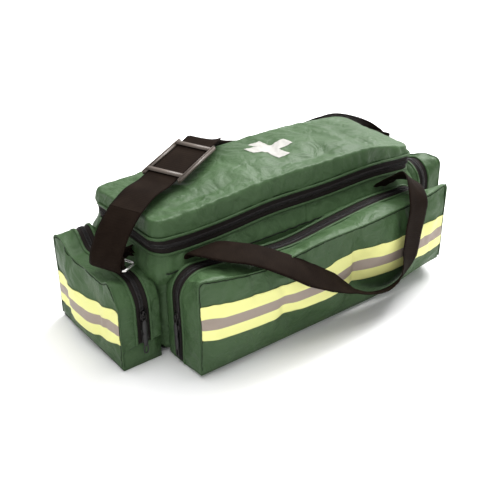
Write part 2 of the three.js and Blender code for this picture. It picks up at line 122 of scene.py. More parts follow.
soft_light("key_light", (1.5, 0.55, 1.65), (0, 0, 0.1), 1.3, 1.3, 70)
soft_light("top_light", (0.0, 0.1, 2.2), (0, 0, 0.1), 2.2, 1.6, 40)
soft_light("fill_light", (-1.9, -1.6, 1.1), (0, 0, 0.1), 1.6, 1.2, 7)

world = bpy.data.worlds.new("studio")
world.use_nodes = True
world.node_tree.nodes["Background"].inputs["Color"].default_value = (1, 1, 1, 1)
world.node_tree.nodes["Background"].inputs["Strength"].default_value = 0.6
scene.world = world


def new_material(name, colour, roughness, **values):
    """A Principled material. Further sockets are given by their names with _ for a space."""
    finish = bpy.data.materials.new(name)
    finish.use_nodes = True
    shader = finish.node_tree.nodes["Principled BSDF"]
    shader.inputs["Base Color"].default_value = (*colour, 1)
    shader.inputs["Roughness"].default_value = roughness
    for key, value in values.items():
        shader.inputs[key.replace("_", " ")].default_value = value
    return finish


floor_mesh = bmesh.new()
bmesh.ops.create_grid(floor_mesh, x_segments=1, y_segments=1, size=6)
floor_data = bpy.data.meshes.new("floor")
floor_mesh.to_mesh(floor_data)
floor_mesh.free()
floor_data.materials.append(new_material("floor_paper", (0.93, 0.93, 0.93), 0.9))
floor = bpy.data.objects.new("floor", floor_data)
scene.collection.objects.link(floor)

# ---------------------------------------------------------------------------------------------
# Bag nylon: a plain-woven nylon with a thin glossy coating on its face. It creases softly, its
# weave is just visible close up, and the dye is a little uneven. The inside is lined in black.


def nodes_of(finish):
    """The node tree of a material and a function that adds a node and sets its values."""
    tree = finish.node_tree

    def add(kind, links=(), **values):
        node = tree.nodes.new(kind)
        for key, value in values.items():
            if hasattr(node, key):
                setattr(node, key, value)
            else:
                node.inputs[key.replace("_", " ")].default_value = value
        for source, target in links:
            tree.links.new(source, node.inputs[target])
        return node

    return tree, add


def uneven_colour(finish, dark, light, scale):
    """Blends two colours by soft noise through the piece."""
    tree, add = nodes_of(finish)
    shader = tree.nodes["Principled BSDF"]
    place = add("ShaderNodeTexCoord")
    cloud = add("ShaderNodeTexNoise", [(place.outputs["Object"], "Vector")], Scale=scale, Detail=4.0)
    ramp = add("ShaderNodeValToRGB", [(cloud.outputs["Fac"], "Fac")])
    ramp.color_ramp.elements[0].position = 0.3
    ramp.color_ramp.elements[0].color = (*dark, 1)
    ramp.color_ramp.elements[1].position = 0.7
    ramp.color_ramp.elements[1].color = (*light, 1)
    tree.links.new(ramp.outputs["Color"], shader.inputs["Base Color"])


def woven_bump(finish, source, threads, depth, ribs=None):
    """Adds a plain weave as bump: two sets of threads at right angles, per metre of the map."""
    tree, add = nodes_of(finish)
    shader = tree.nodes["Principled BSDF"]
    place = add("ShaderNodeTexCoord")
    waves = []
    for direction, rate in (("X", threads), ("Y", ribs or threads)):
        waves.append(add(
            "ShaderNodeTexWave", [(place.outputs[source], "Vector")],
            bands_direction=direction, Scale=rate / 3.1, Distortion=0.0,
        ))
    weave = add("ShaderNodeMath", [(waves[0].outputs["Fac"], 0), (waves[1].outputs["Fac"], 1)])
    weave.operation = "MULTIPLY"
    bump = add("ShaderNodeBump", [(weave.outputs[0], "Height")], Strength=0.35, Distance=depth)
    tree.links.new(bump.outputs["Normal"], shader.inputs["Normal"])
    return tree, add, bump


nylon = new_material("bag_nylon", (0.03, 0.06, 0.022), 0.5, Specular_IOR_Level=0.25)
uneven_colour(nylon, (0.039, 0.079, 0.030), (0.056, 0.108, 0.043), 9)
nylon_tree, nylon_add, nylon_bump = woven_bump(nylon, "UV", 1900, 0.00016)
nylon_place = nylon_add("ShaderNodeTexCoord")
crinkle = nylon_add(
    "ShaderNodeTexNoise", [(nylon_place.outputs["Object"], "Vector")], Scale=95.0, Detail=3.0,
)
crinkle_bump = nylon_add(
    "ShaderNodeBump",
    [(crinkle.outputs["Fac"], "Height"), (nylon_bump.outputs["Normal"], "Normal")],
    Strength=0.5, Distance=0.0012,
)
fold = nylon_add(
    "ShaderNodeTexNoise", [(nylon_place.outputs["Object"], "Vector")],
    Scale=30.0, Detail=2.0, Distortion=1.6,
)
fold_bump = nylon_add(
    "ShaderNodeBump",
    [(fold.outputs["Fac"], "Height"), (crinkle_bump.outputs["Normal"], "Normal")],
    Strength=0.55, Distance=0.006,
)
nylon_tree.links.new(fold_bump.outputs["Normal"], nylon_tree.nodes["Principled BSDF"].inputs["Normal"])

lining = new_material("inner_lining", (0.02, 0.022, 0.02), 0.75)
uneven_colour(lining, (0.016, 0.018, 0.016), (0.026, 0.029, 0.026), 14)
woven_bump(lining, "UV", 1500, 0.0002)

NYLON_THICKNESS = 0.0009
CLOTH_CELL = 0.0055
SEAM_SWAY = 0.0022
SEWING_SEED = 4
SEAM_REST = 0.004
SEAM_GATHER = 0.05
SETTLE_STEPS = 18
CLOTH_STIFFNESS = 14


noise.seed_set(SEWING_SEED)


def sway(point, size=SEAM_SWAY):
    """Every sewn edge wanders a little, and all pieces that meet there wander together."""
    return point + noise.noise_vector(point * 11 + Vector((3.1, 7.7, 1.3))) * size


def box_surface(low, high, cell=CLOTH_CELL, open_sides=()):
    """The surface of a box cut into cells, without its open sides, with a UV map in metres."""
    mesh = bmesh.new()
    bmesh.ops.create_cube(mesh, size=1)
    extent = high - low
    for axis in range(3):
        along = [
            edge for edge in mesh.edges
            if abs(edge.verts[0].co[axis] - edge.verts[1].co[axis]) > 0.5
        ]
        cuts = max(round(extent[axis] / cell) - 1, 1)
        bmesh.ops.subdivide_edges(mesh, edges=along, cuts=cuts, use_grid_fill=True)
    gone = [
        face for face in mesh.faces
        for axis, way in open_sides
        if face.normal[axis] * way > 0.9
    ]
    bmesh.ops.delete(mesh, geom=gone, context="FACES")
    middle = (low + high) / 2
    uv = mesh.loops.layers.uv.new("UVMap")
    for vertex in mesh.verts:
        vertex.co = Vector(vertex.co[i] * extent[i] + middle[i] for i in range(3))
    for face in mesh.faces:
        flat = max(range(3), key=lambda i: abs(face.normal[i]))
        first, second = [i for i in range(3) if i != flat]
        for loop in face.loops:
            loop[uv].uv = (loop.vert.co[first], loop.vert.co[second])
    return mesh


def sweep(along, around, place, size=(1, 1), closed=True):
    """A surface with place(i, j) at step i along and j around. A closed one gets flat ends."""
    mesh = bmesh.new()
    uv = mesh.loops.layers.uv.new("UVMap")
    bmesh.ops.create_grid(mesh, x_segments=along, y_segments=around, size=0.5)
    for vertex in mesh.verts:
        for loop in vertex.link_loops:
            loop[uv].uv = ((vertex.co.x + 0.5) * size[0], (vertex.co.y + 0.5) * size[1])
    for vertex in mesh.verts:
        i = round((vertex.co.x + 0.5) * along)
        j = round((vertex.co.y + 0.5) * around)
        vertex.co = place(i, j)
    if closed:
        bmesh.ops.remove_doubles(mesh, verts=mesh.verts, dist=0.000002)
        rim = [edge for edge in mesh.edges if edge.is_boundary]
        if rim:
            bmesh.ops.holes_fill(mesh, edges=rim, sides=0)
        for edge in rim:
            edge.smooth = False
    bmesh.ops.recalc_face_normals(mesh, faces=mesh.faces)
    return mesh


def round_corner(u, v, half_u, half_v, radius):
    """Moves a point of a rectangle so that the rectangle's corner becomes an arc."""
    beyond_u = abs(u) - (half_u - radius)
    beyond_v = abs(v) - (half_v - radius)
    if beyond_u <= 0 or beyond_v <= 0:
        return u, v
    shrink = max(beyond_u, beyond_v) / math.hypot(beyond_u, beyond_v)
    return (
        math.copysign(half_u - radius + beyond_u * shrink, u),
        math.copysign(half_v - radius + beyond_v * shrink, v),
    )


def new_piece(name, mesh, *finishes, smooth=True):
    """Puts a bmesh in the scene as an object at the origin."""
    data = bpy.data.meshes.new(name)
    mesh.to_mesh(data)
    mesh.free()
    for finish in finishes:
        data.materials.append(finish)
    data.polygons.foreach_set("use_smooth", [smooth] * len(data.polygons))
    piece = bpy.data.objects.new(name, data)
    scene.collection.objects.link(piece)
    return piece


def picked(mesh, test):
    """The numbers of the vertices whose places pass a test."""
    mesh.verts.index_update()
    return [vertex.index for vertex in mesh.verts if test(vertex.co)]


def drape(piece, pinned, pressure, growth, gather=(), reach=0.012):
    """Lets the cloth settle under the air inside it, then keeps that shape in the mesh.

    pinned lists the vertices that are sewn to something firm. growth is the share of spare cloth,
    gather lists the vertices on a seam that draws it in, and no vertex moves further than reach.
    """
    start = [vertex.co.copy() for vertex in piece.data.vertices]
    pins = piece.vertex_groups.new(name="pins")
    seam = piece.vertex_groups.new(name="seam")
    pins.add(list(pinned), 1.0, "REPLACE")
    seam.add(list(gather), 1.0, "REPLACE")
    cloth = piece.modifiers.new("Cloth", "CLOTH")
    cloth.settings.quality = 5
    cloth.settings.mass = 0.15
    cloth.settings.tension_stiffness = CLOTH_STIFFNESS
    cloth.settings.compression_stiffness = CLOTH_STIFFNESS
    cloth.settings.shear_stiffness = CLOTH_STIFFNESS / 3
    cloth.settings.bending_stiffness = 0.12
    cloth.settings.tension_damping = 8
    cloth.settings.compression_damping = 8
    cloth.settings.vertex_group_mass = "pins"
    cloth.settings.vertex_group_shrink = "seam"
    cloth.settings.shrink_min = -growth
    cloth.settings.shrink_max = SEAM_GATHER
    cloth.settings.use_pressure = True
    cloth.settings.uniform_pressure_force = pressure
    cloth.settings.effector_weights.gravity = 0
    cloth.collision_settings.use_collision = False
    cloth.point_cache.frame_start = 1
    cloth.point_cache.frame_end = SETTLE_STEPS
    for step in range(1, SETTLE_STEPS + 1):
        scene.frame_set(step)
    settled = piece.evaluated_get(bpy.context.evaluated_depsgraph_get()).to_mesh()
    for vertex, before, after in zip(piece.data.vertices, start, settled.vertices):
        move = after.co - before
        if move.length > reach:
            move *= reach / move.length
        vertex.co = before + move
    piece.modifiers.remove(cloth)
    piece.vertex_groups.clear()
    scene.frame_set(1)


def pucker(piece, square, seams, size=0.0034, reach=0.013, pitch=0.0095):
    """Small gathers that stand across each seam and die away from it.

    square holds every vertex's place before it was shaped, and a seam gives the distance from
    it and the run along it for such a place.
    """
    for vertex, place in zip(piece.data.vertices, square):
        lift = 0
        for seam in seams:
            distance, run = seam(place)
            wave = noise.noise(Vector((run / pitch, distance * 25, size * 1000)))
            lift += size * math.exp(-abs(distance) / reach) * wave * min(abs(distance) / SEAM_REST, 1)
        vertex.co += vertex.normal * lift


def tree_of(piece):
    """A search tree over a piece's own surface."""
    skin = bmesh.new()
    skin.from_mesh(piece.data)
    tree = BVHTree.FromBMesh(skin)
    skin.free()
    return tree


def thicken(piece, thickness=NYLON_THICKNESS, inside=0, smooth=1):
    """Gives cloth its thickness inwards and a smooth surface."""
    wall = piece.modifiers.new("thickness", "SOLIDIFY")
    wall.thickness = thickness
    wall.offset = -1
    wall.material_offset = inside
    wall.material_offset_rim = inside
    if smooth:
        surface = piece.modifiers.new("smooth", "SUBSURF")
        surface.levels = smooth
        surface.render_levels = smooth


# ---------------------------------------------------------------------------------------------
# Main compartment: base and four walls of nylon over thin foam, sewn as one tub. The upright
# corners are round, the strip under the zip is gathered where the pocket tops are sewn to it.
body_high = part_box("base_panel")[1]
half_length = body_high.x
half_depth = body_high.y
zip_line = (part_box("main_zip_lower")[1].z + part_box("main_zip_upper")[0].z) / 2
ZIP_HALF = 0.011
BODY_CORNER = 0.024
PADDING = 0.0045
POCKET_SEAM = 0.126
tub_top = zip_line - ZIP_HALF
ZIP_INSET = 0.004
SEAM_ROLL = 0.009
SEAM_ROLL_HEIGHT = 0.013


def smooth_step(value, low, high):
    """0 below low, 1 above high, and a smooth rise between."""
    share = min(max((value - low) / (high - low), 0), 1)
    return share * share * (3 - 2 * share)


def zip_wave(x):
    """How far the main zip and the seams beside it rise and fall along the bag."""
    return 0.0035 * math.sin(x * 13 + 0.9) - 0.0015 * math.sin(x * 31)


def body_place(point):
    """Rounds the bag's upright corners and lets the zip and seams wander."""
    x, y = round_corner(point.x, point.y, half_length, half_depth, BODY_CORNER)
    rise = min(max((point.z - POCKET_SEAM) / (zip_line - POCKET_SEAM), 0), 1)
    bulge = SEAM_ROLL * math.exp(-((point.z - POCKET_SEAM) / SEAM_ROLL_HEIGHT) ** 2)
    roll = (bulge - ZIP_INSET * rise) / half_depth
    place = Vector((x * (1 + roll * 0.25), y * (1 + roll), point.z + zip_wave(point.x) * rise))
    return sway(place, SEAM_SWAY * (0.3 + rise))


tub = box_surface(
    Vector((-half_length, -half_depth, 0.0008)), Vector((half_length, half_depth, tub_top)),
    open_sides=[(2, 1)],
)
tub_pins = picked(tub, lambda p: p.z < 0.004 or p.z > tub_top - 0.006 or abs(p.z - POCKET_SEAM) < 0.003)
tub_gather = picked(tub, lambda p: abs(p.z - POCKET_SEAM) < 0.006 or p.z > tub_top - 0.008)
tub_square = [vertex.co.copy() for vertex in tub.verts]
for vertex in tub.verts:
    foot = min(vertex.co.z / 0.014, 1)
    tuck = 1 - 0.006 * (1 - foot) ** 2 / half_depth
    vertex.co = body_place(Vector((vertex.co.x * tuck, vertex.co.y * tuck, vertex.co.z)))
main_tub = new_piece("main_tub", tub, nylon, lining)
drape(main_tub, tub_pins, pressure=1.2, growth=0.03, gather=tub_gather)
pucker(main_tub, tub_square, [
    lambda p: (p.z - POCKET_SEAM, p.x + p.y),
    lambda p: (p.z - tub_top, p.x + p.y + 1),
], 0.0048)
thicken(main_tub, PADDING, inside=1)
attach(main_tub, "root")
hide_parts("base_panel", "front_wall", "rear_wall", "left_wall", "right_wall")

# Lid: a flat padded top panel in a low gusset band, sewn together with a seam that runs round the
# edge. The foam lifts the middle a little, a second seam runs along the front, and the cloth
# puckers beside both.
LID_CORNER = 0.018
LID_SEAM = 0.190
LID_FRONT_RISE = 0.0145
LID_REAR_RISE = 0.0065
LID_DOME = 0.006
LID_LEAN = 0.004
LID_STITCH = 0.028
LID_GROOVE = 0.0022
LID_RIGHT_DROP = 0.012
LID_END_DROP = 0.007
lid_base = zip_line + ZIP_HALF


def lid_place(point):
    """The lid's outline, its dome and its seam."""
    x, y = round_corner(point.x, point.y, half_length, half_depth, LID_CORNER)
    across = 1 - (abs(y) / half_depth) ** 2.6
    along = 1 - (abs(x) / half_length) ** 3
    front = (half_depth - y) / half_depth / 2
    rise = min(max((point.z - lid_base) / (LID_SEAM - lid_base), 0), 1)
    right_drop = LID_RIGHT_DROP * smooth_step(x, 0.14, half_length) * (0.15 + 0.85 * front)
    drop = right_drop + LID_END_DROP * (x / half_length) ** 2
    lift = LID_FRONT_RISE * front + LID_REAR_RISE * (1 - front) - drop
    dome = 0
    if rise > 0.999:
        stitched = math.exp(-((y + half_depth - LID_STITCH) / 0.004) ** 2)
        dome = LID_DOME * across * along - LID_GROOVE * stitched * along
    lean = 1 - (ZIP_INSET + rise * LID_LEAN) / half_depth
    edge = Vector((
        x * (1 - rise * LID_LEAN / half_length), y * lean,
        point.z + zip_wave(point.x) * (1 - 0.3 * rise) + lift * rise + dome,
    ))
    return sway(edge, SEAM_SWAY)


top = box_surface(
    Vector((-half_length, -half_depth, lid_base)), Vector((half_length, half_depth, LID_SEAM)),
    open_sides=[(2, -1)],
)
rim = CLOTH_CELL / 3
lid_seam = picked(top, lambda p: p.z > LID_SEAM - rim and (
    abs(p.y) > half_depth - rim or abs(p.x) > half_length - rim
))
lid_edge = picked(top, lambda p: p.z < lid_base + rim)
beside_seam = picked(top, lambda p: p.z > LID_SEAM - 0.008 and (
    abs(p.y) > half_depth - 0.009 or abs(p.x) > half_length - 0.009
))
lid_square = [vertex.co.copy() for vertex in top.verts]
for vertex in top.verts:
    vertex.co = lid_place(vertex.co)
main_lid = new_piece("main_lid", top, nylon, lining)
drape(main_lid, lid_seam + lid_edge, pressure=0.8, growth=0.018, gather=beside_seam, reach=0.006)


def lid_seam_at(place):
    """Distance from the lid's seam, over the top or down the gusset, and the run along it."""
    inwards = min(half_depth - abs(place.y), half_length - abs(place.x))
    return inwards + (LID_SEAM - place.z), place.x + place.y


pucker(main_lid, lid_square, [
    lid_seam_at,
    lambda p: (p.z - lid_base, p.x + p.y + 1),
    lambda p: (p.y + half_depth - LID_STITCH + LID_SEAM - p.z, p.x + 2),
], 0.0045, 0.015, 0.0105)
thicken(main_lid, 0.004, inside=1)
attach(main_lid, "lid")
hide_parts("lid_top_panel", "lid_gusset")

# ---------------------------------------------------------------------------------------------
# Pockets: one along the front and one on each end. Each is a face panel framed by a gusset that a
# zip splits in two: the inner strip is sewn to the bag, the outer strip opens with the face.
PANEL_INSET = 0.0008
FACE_CORNER = 0.011
ZIP_CORNER = 0.034
pocket_floor_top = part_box("front_pocket_floor")[1].z


class Pocket:
    """Where a pocket is and how its square outline becomes the sewn one.

    Local x runs along the pocket's width, local -y away from the bag's wall.
    """

    def __init__(self, name, turn, wall, seam_height, zip_top, face_top, tape_rise, foot_lift):
        self.name = name
        face_low, face_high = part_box(f"{name}_pocket_face")
        zip_low, zip_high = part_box(f"{name}_zip_fixed")
        moving_low, moving_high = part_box(f"{name}_zip_moving")
        inverse = Matrix.Rotation(-turn, 4, "Z")
        self.turn = Matrix.Rotation(turn, 4, "Z")
        self.wall = wall
        face = [inverse @ corner for corner in (face_low, face_high)]
        fixed = [inverse @ corner for corner in (zip_low, zip_high)]
        moving = [inverse @ corner for corner in (moving_low, moving_high)]
        self.half_width = abs(face[0].x)
        self.depth = max(abs(corner.y) for corner in face) - wall
        self.zip_near = min(abs(corner.y) for corner in fixed) - wall
        self.zip_far = max(abs(corner.y) for corner in moving) - wall
        self.height = face_high.z
        self.foot = zip_low.z
        self.seam_height = seam_height
        self.zip_top = zip_top
        self.face_top = face_top
        self.tape_rise = tape_rise
        self.foot_lift = foot_lift

    def place(self, point):
        """A point of the square pocket, taken to the sewn pocket's shape in the bag's frame."""
        out = -point.y
        share = point.x / self.half_width
        near = smooth_step(out, -0.01, self.zip_near)
        far = smooth_step(out, self.zip_far - 0.004, self.depth - 0.004)
        top = self.seam_height + (self.zip_top(share) - self.seam_height) * near
        top += (self.face_top(share) - self.zip_top(share)) * far
        lift = self.foot_lift(share) * far
        z = point.z + (top - self.height) * point.z / self.height + lift * (1 - point.z / self.height)
        corner = ZIP_CORNER + (FACE_CORNER - ZIP_CORNER) * far
        x, z = round_corner(point.x, z, self.half_width, top, corner)
        local = Vector((x, point.y - self.wall, z))
        calm = min(point.z / 0.02, 1)
        return sway(self.turn @ local, SEAM_SWAY * calm)


def front_zip_top(share):
    """The front pocket's top along its zip, pressed down under the handle."""
    return 0.1345 - 0.016 * math.exp(-((share + 0.2) / 0.38) ** 2)


def front_face_top(share):
    """The front pocket's top edge: ears at both corners and a dip under the handle."""
    dip = 0.007 * math.exp(-((share + 0.48) / 0.26) ** 2)
    return 0.1355 + 0.0125 * abs(share) ** 7 + 0.005 * max(share, 0) - dip


def front_tape_rise(share):
    """The tape hangs low in the middle and climbs towards both ends."""
    return -0.010 + (0.015 if share < 0 else 0.005) * share * share


def front_foot_lift(share):
    """The bottom edge is drawn up at its right end."""
    return 0.004 + 0.020 * smooth_step(share, 0.35, 1.0)


def left_zip_top(share):
    return 0.1215 + 0.023 * smooth_step(-share, 0.38, 0.75)


def left_face_top(share):
    ear = 0.015 * smooth_step(-share, 0.35, 0.85) + 0.007 * math.exp(-((share - 0.74) / 0.1) ** 2)
    return 0.1205 + ear - 0.016 * smooth_step(share, 0.82, 1.0)


def left_tape_rise(share):
    return -0.017 + 0.014 * smooth_step(share, 0, 0.95)


def right_top(share):
    return 0.1305 + 0.0145 * smooth_step(-share, 0.1, 0.7)


def stay_level(share):
    """A pocket edge that stays level."""
    return 0


pockets = [
    Pocket(
        "front", turn=0, wall=half_depth, seam_height=POCKET_SEAM, zip_top=front_zip_top,
        face_top=front_face_top, tape_rise=front_tape_rise, foot_lift=front_foot_lift,
    ),
    Pocket(
        "left", turn=-math.pi / 2, wall=half_length, seam_height=0.121, zip_top=left_zip_top,
        face_top=left_face_top, tape_rise=left_tape_rise, foot_lift=stay_level,
    ),
    Pocket(
        "right", turn=math.pi / 2, wall=half_length, seam_height=0.128, zip_top=right_top,
        face_top=right_top, tape_rise=stay_level, foot_lift=stay_level,
    ),
]


def settle_pocket_part(pocket, name, mesh, pinned, nodes, body, **cloth):
    """Shapes, drapes and finishes one sewn part of a pocket. pinned reads the square outline."""
    pins = picked(mesh, pinned)
    crease = mesh.edges.layers.float.new("crease_edge")
    for edge in mesh.edges:
        ends = [vertex.co for vertex in edge.verts]
        if all(end.y < -pocket.depth + 0.001 for end in ends) and (
            all(abs(end.x) > pocket.half_width - 0.001 for end in ends)
            or all(end.z > pocket.height - 0.001 for end in ends)
        ):
            edge[crease] = 1
    square = [vertex.co.copy() for vertex in mesh.verts]
    for vertex in mesh.verts:
        vertex.co = pocket.place(vertex.co)
    piece = new_piece(name, mesh, nylon, lining)
    drape(piece, pins, **cloth)

    def face_seam(place):
        inwards = min(pocket.half_width - abs(place.x), pocket.height - place.z)
        return inwards + pocket.depth + place.y, place.x + place.z

    pucker(piece, square, [
        face_seam,
        lambda p: (p.y + pocket.zip_far if p.y < -pocket.zip_far else p.y + pocket.zip_near, p.x + p.z + 1),
    ], size=0.0022)
    thicken(piece, inside=1)
    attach(piece, body)
    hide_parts(*nodes)
    return piece


pocket_faces = {}
for pocket in pockets:
    wide, deep, high = pocket.half_width, pocket.depth, pocket.height
    strip = box_surface(
        Vector((-wide, -pocket.zip_near, pocket.foot)), Vector((wide, PANEL_INSET, high)),
        open_sides=[(1, 1), (1, -1), (2, -1)], cell=0.0045,
    )
    settle_pocket_part(
        pocket, f"{pocket.name}_inner_gusset", strip,
        lambda p: p.y > -0.001 or p.y < -pocket.zip_near + 0.001 or p.z < pocket.foot + 0.002,
        [f"{pocket.name}_pocket_inner_gusset"], "root",
        pressure=1.0, growth=0.03, reach=0.005,
    )
    front = box_surface(
        Vector((-wide, -deep, pocket_floor_top)), Vector((wide, -pocket.zip_far, high)),
        open_sides=[(1, 1), (2, -1)],
    )
    low_gusset = [
        face for face in front.faces
        if abs(face.normal.x) > 0.9 and face.calc_center_median().z < pocket.foot - 0.001
    ]
    bmesh.ops.delete(front, geom=low_gusset, context="FACES")
    loose = [vertex for vertex in front.verts if not vertex.link_faces]
    bmesh.ops.delete(front, geom=loose, context="VERTS")
    pocket_faces[pocket.name] = settle_pocket_part(
        pocket, f"{pocket.name}_pocket_front", front,
        lambda p: (
            p.y > -pocket.zip_far - 0.001 or p.z < pocket_floor_top + 0.003
            or (abs(p.x) > wide - 0.001 and p.z < pocket.foot + 0.002)
            or (abs(p.x) > wide - 0.001 and p.y < -deep + 0.001)
            or (p.z > high - 0.001 and p.y < -deep + 0.001)
        ),
        [f"{pocket.name}_pocket_face", f"{pocket.name}_pocket_outer_gusset"], f"{pocket.name}_flap",
        pressure=1.2, growth=0.03, reach=0.0085,
    )
    tray_high = pocket.foot if pocket.foot > 0.01 else pocket_floor_top
    tray_open = [(1, 1), (1, -1), (2, 1)] if pocket.foot > 0.01 else []
    tray = box_surface(
        Vector((-wide + PANEL_INSET, -deep + PANEL_INSET, PANEL_INSET)),
        Vector((wide - PANEL_INSET, -PANEL_INSET, tray_high)), cell=0.012, open_sides=tray_open,
    )
    for vertex in tray.verts:
        vertex.co = pocket.place(vertex.co)
    tray_piece = new_piece(f"{pocket.name}_pocket_floor_panel", tray, nylon, lining)
    if tray_open:
        thicken(tray_piece, inside=1, smooth=0)
    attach(tray_piece, "root")
    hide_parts(f"{pocket.name}_pocket_floor")

# Reflective tape: 50 mm of woven tape with two fluorescent edges and a silver middle, sewn across
# each pocket's face so that it takes the face's own creases.
TAPE_LIFT = 0.0011
tape_finish = new_material("reflective_tape", (0.78, 0.86, 0.10), 0.5, Specular_IOR_Level=0.4)
tape_tree, tape_add = nodes_of(tape_finish)
tape_uv = tape_add("ShaderNodeUVMap")
tape_split = tape_add("ShaderNodeSeparateXYZ", [(tape_uv.outputs["UV"], "Vector")])
tape_bands = tape_add("ShaderNodeValToRGB", [(tape_split.outputs["Y"], "Fac")])
tape_bands.color_ramp.interpolation = "CONSTANT"
FLUORESCENT = (0.88, 0.88, 0.33, 1)
SILVER = (0.33, 0.27, 0.225, 1)
bands = tape_bands.color_ramp.elements
bands[0].color = FLUORESCENT
bands[1].position = 0.32
bands[1].color = SILVER
last_band = bands.new(0.62)
last_band.color = FLUORESCENT
tape_tree.links.new(tape_bands.outputs["Color"], tape_tree.nodes["Principled BSDF"].inputs["Base Color"])
woven_bump(tape_finish, "UV", 300, 0.0001, ribs=60)

for pocket in pockets:
    tape_low, tape_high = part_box(f"{pocket.name}_reflective_tape")
    face_tree = tree_of(pocket_faces[pocket.name])
    outward = pocket.turn @ Vector((0, -1, 0))
    strip = bmesh.new()
    bmesh.ops.create_grid(
        strip, x_segments=round(pocket.half_width * 2 / 0.004), y_segments=12, size=0.5, calc_uvs=True,
    )
    uv = strip.loops.layers.uv.verify()
    for face in strip.faces:
        for loop in face.loops:
            loop[uv].uv = (loop.vert.co.x + 0.5, loop.vert.co.y + 0.5)
    for vertex in strip.verts:
        local = Vector((
            vertex.co.x * 2 * (pocket.half_width - 0.0015),
            -pocket.wall - pocket.depth - 0.06,
            tape_low.z + pocket.tape_rise(vertex.co.x * 2) + (vertex.co.y + 0.5) * (tape_high.z - tape_low.z),
        ))
        start = sway(pocket.turn @ local, 0.0008)
        hit = face_tree.ray_cast(start, -outward)[0]
        vertex.co = (hit or start - outward * 0.06) + outward * TAPE_LIFT
    tape = new_piece(f"{pocket.name}_tape", strip, tape_finish)
    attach(tape, f"{pocket.name}_flap")
    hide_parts(f"{pocket.name}_reflective_tape")
    thicken(tape, 0.0004)

# Edges: the faces are sewn on inside out, so every edge is a narrow turned ridge with a dark line beside it,
# partly the thread and partly painted shade of the stitch groove. A dark piping runs under the main zip along
# the front.
RIDGE = 0.0022
THREAD_AND_SHADE_WIDTH = 0.0010
PIPING = 0.0019
PIPING_STANDS_OUT = 0.0013
# Dark seam colour: the piping's own colour, and on the pocket face lines also painted shade of the stitch
# groove.
thread_and_stitch_shade = new_material("seam_thread", (0.010, 0.014, 0.009), 0.8, Specular_IOR_Level=0.1)


def seam_line(name, points, width, finish, body):
    """A thin round line through points."""
    around = 6

    def place(i, j):
        along = (points[min(i + 1, len(points) - 1)] - points[max(i - 1, 0)]).normalized()
        side = along.cross(Vector((0.31, 0.22, 0.92))).normalized()
        angle = 2 * math.pi * (j % around) / around
        return points[i] + (side * math.cos(angle) + along.cross(side) * math.sin(angle)) * width / 2

    line = new_piece(name, sweep(len(points) - 1, around, place), finish)
    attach(line, body)
    return line


def edge_path(pocket, inset, foot):
    """The outline of a pocket's face, up one side, over the top and down the other."""
    wide, high = pocket.half_width - inset, pocket.height - inset
    rise = high - foot
    total = rise * 2 + wide * 2
    steps = round(total / 0.003)
    path = []
    for step in range(steps + 1):
        run = total * step / steps
        if run < rise:
            x, z = -wide, foot + run
        elif run < rise + wide * 2:
            x, z = run - rise - wide, high
        else:
            x, z = wide, high - (run - rise - wide * 2)
        path.append(pocket.place(Vector((x, -pocket.depth, z))))
    return path


for pocket in pockets:
    outward = pocket.turn @ Vector((0, -1, 0))
    seam_line(
        f"{pocket.name}_face_ridge", edge_path(pocket, 0, 0.006), RIDGE, nylon, f"{pocket.name}_flap",
    )
    face_tree = tree_of(pocket_faces[pocket.name])
    stitched = []
    for point in edge_path(pocket, 0.0026, 0.008):
        hit = face_tree.ray_cast(point + outward * 0.03, -outward)[0]
        stitched.append((hit or point) + outward * THREAD_AND_SHADE_WIDTH * 0.2)
    # This dark face line is the thread plus painted shade of the stitch groove.
    seam_line(f"{pocket.name}_face_thread", stitched, THREAD_AND_SHADE_WIDTH, thread_and_stitch_shade, f"{pocket.name}_flap")
tub_tree = tree_of(main_tub)
piping = []
for step in range(121):
    place = body_place(Vector((half_length * (step / 60 - 1) * 0.94, -half_depth, POCKET_SEAM + 0.002)))
    hit = tub_tree.ray_cast(place - Vector((0, 0.05, 0)), Vector((0, 1, 0)))[0]
    piping.append((hit or place) - Vector((0, PIPING_STANDS_OUT, 0)))
seam_line("front_piping", piping, PIPING, thread_and_stitch_shade, "root")

# ---------------------------------------------------------------------------------------------
# Zips: black coil zips, each half a woven tape with its own row of teeth, let in between two
# folded and stitched nylon hems. The main one runs round three sides, the hinge is the fourth.
TOOTH_PITCH = 0.0019
STITCH_PITCH = 0.0034
HINGE_REACH = 0.024
RAIL_SAMPLES = 260
BAND_CELL = 0.004
zip_fabric = new_material("zip_tape", (0.013, 0.010, 0.009), 0.8, Specular_IOR_Level=0.15)
woven_bump(zip_fabric, "UV", 900, 0.0002)
zip_coil = new_material("zip_coil", (0.014, 0.012, 0.012), 0.4, Specular_IOR_Level=0.4)


def oval(step, steps, wide, high):
    """A point of an ellipse, as an offset across and an offset up."""
    angle = 2 * math.pi * (step % steps) / steps
    return math.cos(angle) * wide / 2, math.sin(angle) * high / 2


